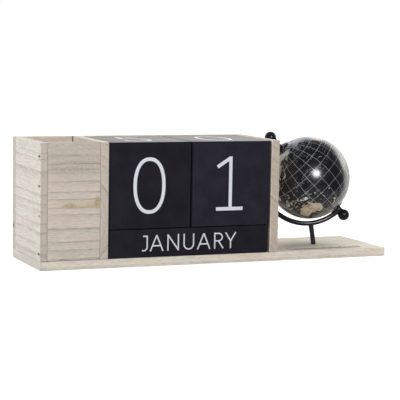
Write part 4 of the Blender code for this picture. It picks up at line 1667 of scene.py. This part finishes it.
# %% Burnt ruler
def make_ruler_tree():
    tree, r, given = new_tree(
        "burnt_ruler",
        (
            ("Marks", "Int", 41),
            ("Spacing", "Float", 0.002),
            ("Mark width", "Float", 0.0009),
            ("Shortest", "Float", 0.0078),
            ("Film thickness", "Float", 0.00003),
            ("Seed", "Int", 7),
        ),
    )
    step = r.node("ShaderNodeCombineXYZ", {"X": given["Spacing"]}).outputs[0]
    inputs = {"Count": given["Marks"], "Offset": step}
    line = r.node("GeometryNodeMeshLine", inputs, mode="OFFSET").outputs[0]
    index = r.node("GeometryNodeInputIndex").outputs[0]
    length = 1.0
    for every, longer in ((5.0, 0.3), (10.0, 0.35)):
        rest = r.sum("MODULO", index, every)
        length = r.sum("MULTIPLY_ADD", r.sum("LESS_THAN", rest, 0.5), longer, length)
    inputs = {2: 0.8, 3: 1.1, "Seed": given["Seed"]}
    uneven = r.node("FunctionNodeRandomValue", inputs, data_type="FLOAT").outputs[1]
    length = r.sum("MULTIPLY", r.sum("MULTIPLY", length, uneven), given["Shortest"])
    inputs = {"X": given["Mark width"], "Y": length, "Z": given["Film thickness"]}
    size = r.node("ShaderNodeCombineXYZ", inputs).outputs[0]
    mark = r.node("GeometryNodeMeshCube", {"Size": (1, 1, 1)}).outputs["Mesh"]
    inputs = {"Geometry": mark, "Translation": (0, 0.5, 0)}
    mark = r.node("GeometryNodeTransform", inputs).outputs[0]
    inputs = {"Points": line, "Instance": mark, "Scale": size}
    marks = r.node("GeometryNodeInstanceOnPoints", inputs).outputs[0]
    end_tree(r, marks, given["Material"])
    return tree


def burnt_material():
    material, r, shader = new_material("burnt_wood", Specular_IOR_Level=0.2)
    own = object_place(r)
    char = r.noise(own, 900.0, 3.0)
    brown = r.mix(char, rgb(0.022, 0.016, 0.012), rgb(0.13, 0.09, 0.065))
    rough = r.sum("MULTIPLY_ADD", char, 0.2, 0.7)
    finish_shader(r, shader, brown, rough, char, 0.00003)
    return material


seed_point = bpy.data.meshes.new("ruler_start")
seed_point.from_pydata([(0, 0, 0)], [], [])
ruler_mesh = grow("burnt_ruler", seed_point, make_ruler_tree(), Material=burnt_material())
ruler_mesh.transform(Matrix.Translation((0.0815, -0.0385, board_top + 0.00001)))
put_piece("burnt_ruler", ruler_mesh, "root", "pale_wood")
print("ruler", len(ruler_mesh.polygons), "faces")

# %% [markdown]
# ## Floor, air and light
#
# The photograph has a white ground with almost no shadow. The floor is a pale sheet, and
# for camera rays a little extra light lifts it to white while its shadow still shows.
#
# The air is white to the camera and soft and even to matt surfaces. To glossy ones it is
# a studio: a bright sheet of paper hangs behind the object, brighter to its right and
# dimmer high up, and the camera's side is dark. That draws the pale rim of the globe.
#
# Two softboxes light the wood from the left and from above. The round glint on the globe
# is a lamp with a fainter halo round it, which only shines back from glossy pieces and
# leaves the matt blocks alone. Another such lamp gives the yoke its sheen; it is linked to
# the post as well, but the post's sheen is painted into its enamel's colour.


# %% The floor
def make_floor():
    material, r, shader = new_material("white_sweep", Roughness=0.8)
    shader.inputs["Base Color"].default_value = rgb(0.8, 0.8, 0.8)
    shader.inputs["Specular IOR Level"].default_value = 0.1
    seen = r.node("ShaderNodeLightPath").outputs["Is Camera Ray"]
    shader.inputs["Emission Color"].default_value = rgb(1.0, 1.0, 1.0)
    r.tree.links.new(r.sum("MULTIPLY", seen, 0.62), shader.inputs["Emission Strength"])
    wide, level = 6.0, -0.0002
    corners = [(-wide, -wide), (wide, -wide), (wide, wide), (-wide, wide)]
    shape = shape_of([(*corner, level) for corner in corners], [[0, 1, 2, 3]])
    floor = put_object("white_floor", finish_mesh("white_floor", shape, material, sharp=None))
    floor.visible_glossy = False
    floor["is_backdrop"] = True


make_floor()


# %% The air
def make_air():
    air = bpy.data.worlds.new("studio_air")
    air.use_nodes = True
    tree = air.node_tree
    tree.nodes.clear()
    r = Recipe(tree)
    path = r.node("ShaderNodeLightPath").outputs
    way = r.node("ShaderNodeTexCoord").outputs["Generated"]
    x, y, z = r.split(way)

    def change(value, start, end, amount, rest=1.0):
        """A factor that goes from rest to rest plus an amount between two values."""
        return r.sum("MULTIPLY_ADD", r.step(value, start, end), amount, rest)

    # The sheet's upper edge rises to the back, and it ends where the front begins.
    edge = r.sum("MULTIPLY_ADD", x, 0.4, y)
    below_edge = r.sum("SUBTRACT", edge, z)
    sheet = r.sum("MULTIPLY", r.step(below_edge, -0.14, 0.16), r.step(y, -0.08, 0.18))
    # Away from the camera's line of sight the sheet is brighter, most of all to the right.
    sight = (0.385, 0.916, -0.107)
    ahead = r.node("ShaderNodeVectorMath", {0: way, 1: sight}, operation="DOT_PRODUCT")
    aside = r.sum("SUBTRACT", 1.0, ahead.outputs["Value"])
    for share in (
        r.step(z, -0.65, 0.25),
        r.step(x, -0.15, 0.25),
        change(z, 0.0, 0.3, 0.9),
        change(z, 0.45, 0.75, -0.85),
    ):
        aside = r.sum("MULTIPLY", aside, share)
    lit = r.sum("MULTIPLY_ADD", aside, 3.8, 0.88)
    upper = r.sum("MULTIPLY", r.step(z, 0.3, 0.6), r.step(x, 0.15, 0.45))
    lit = r.sum("MULTIPLY", lit, r.sum("MULTIPLY_ADD", upper, -0.5, 1.0))
    lit = r.sum("MULTIPLY", lit, change(x, 0.24, 0.4, 0.15, 0.83))
    mirror = r.sum("MULTIPLY_ADD", sheet, lit, change(z, -0.25, -0.7, 0.4, 0.05))

    def background(colour, strength):
        inputs = {"Color": colour, "Strength": strength}
        return r.node("ShaderNodeBackground", inputs).outputs[0]

    soft = background(rgb(0.97, 0.98, 1.0), 0.55)
    shine = background(rgb(1.0, 0.98, 0.94), mirror)
    clear = background(rgb(1.0, 1.0, 1.0), 1.0)
    glossy = r.sum("MAXIMUM", path["Is Glossy Ray"], path["Is Transmission Ray"])
    first = r.node("ShaderNodeMixShader", {0: glossy, 1: soft, 2: shine}).outputs[0]
    inputs = {0: path["Is Camera Ray"], 1: first, 2: clear}
    last = r.node("ShaderNodeMixShader", inputs).outputs[0]
    r.node("ShaderNodeOutputWorld", {"Surface": last})
    scene.world = air


make_air()


# %% The lamps
def softbox(name, place, target, size, power, shape="SQUARE"):
    """A lamp with a flat face that looks at a target. It isn't seen itself."""
    light = bpy.data.lights.new(name, "AREA")
    light.shape = shape
    light.size = size
    light.energy = power
    lamp = put_object(name, light)
    lamp.location = place
    lamp.rotation_mode = "QUATERNION"
    way = Vector(target) - Vector(place)
    lamp.rotation_quaternion = way.to_track_quat("-Z", "Y")
    lamp.visible_camera = False
    lamp.visible_glossy = False
    return lamp


def only_glints(lamp, receivers):
    """Lets a lamp show in glossy surfaces alone, and only on the given pieces."""
    lamp.visible_diffuse = False
    lamp.visible_glossy = True
    lamp.light_linking.receiver_collection = receivers


def collected(name, pieces):
    group = bpy.data.collections.new(name)
    for piece in pieces:
        group.objects.link(piece)
    return group


middle, globe = (0, 0, 0.05), (0.1, 0, 0.07)
halo = softbox("glint_halo", (-0.02, -1.5, 0.52), globe, 0.95, 1.1, shape="DISK")
softbox("left_softbox", (-1.9, -0.9, 1.1), middle, 1.2, 26.0)
softbox("top_softbox", (0.4, 0.9, 2.0), middle, 1.2, 18.0)
glint = softbox("round_glint", (-0.02, -1.45, 0.52), globe, 0.5, 18.0, shape="DISK")
sheen = softbox("wire_sheen", (-0.62, -1.4, 0.45), (0.12, 0, 0.04), 1.1, 8.0)
meshes = [piece for piece in scene.objects if piece.type == "MESH"]
unpainted = [piece for piece in meshes if not piece.name.startswith("painted")]
lit_pieces = collected("lit_by_glint", unpainted)
for lamp in (glint, halo):
    only_glints(lamp, lit_pieces)
only_glints(sheen, collected("lit_by_wire_sheen", (yoke, post)))

# %% [markdown]
# ## Measuring and closing
#
# The sizes of both boxes, of the solids and of the dressed object, are printed in
# millimetres.

# %% Sizes and finish
dressed_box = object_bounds()
for label, (low, high) in (("solid", solid_box), ("dressed", dressed_box)):
    print(label, [round((b - a) * 1000, 2) for a, b in zip(low, high)], "mm")
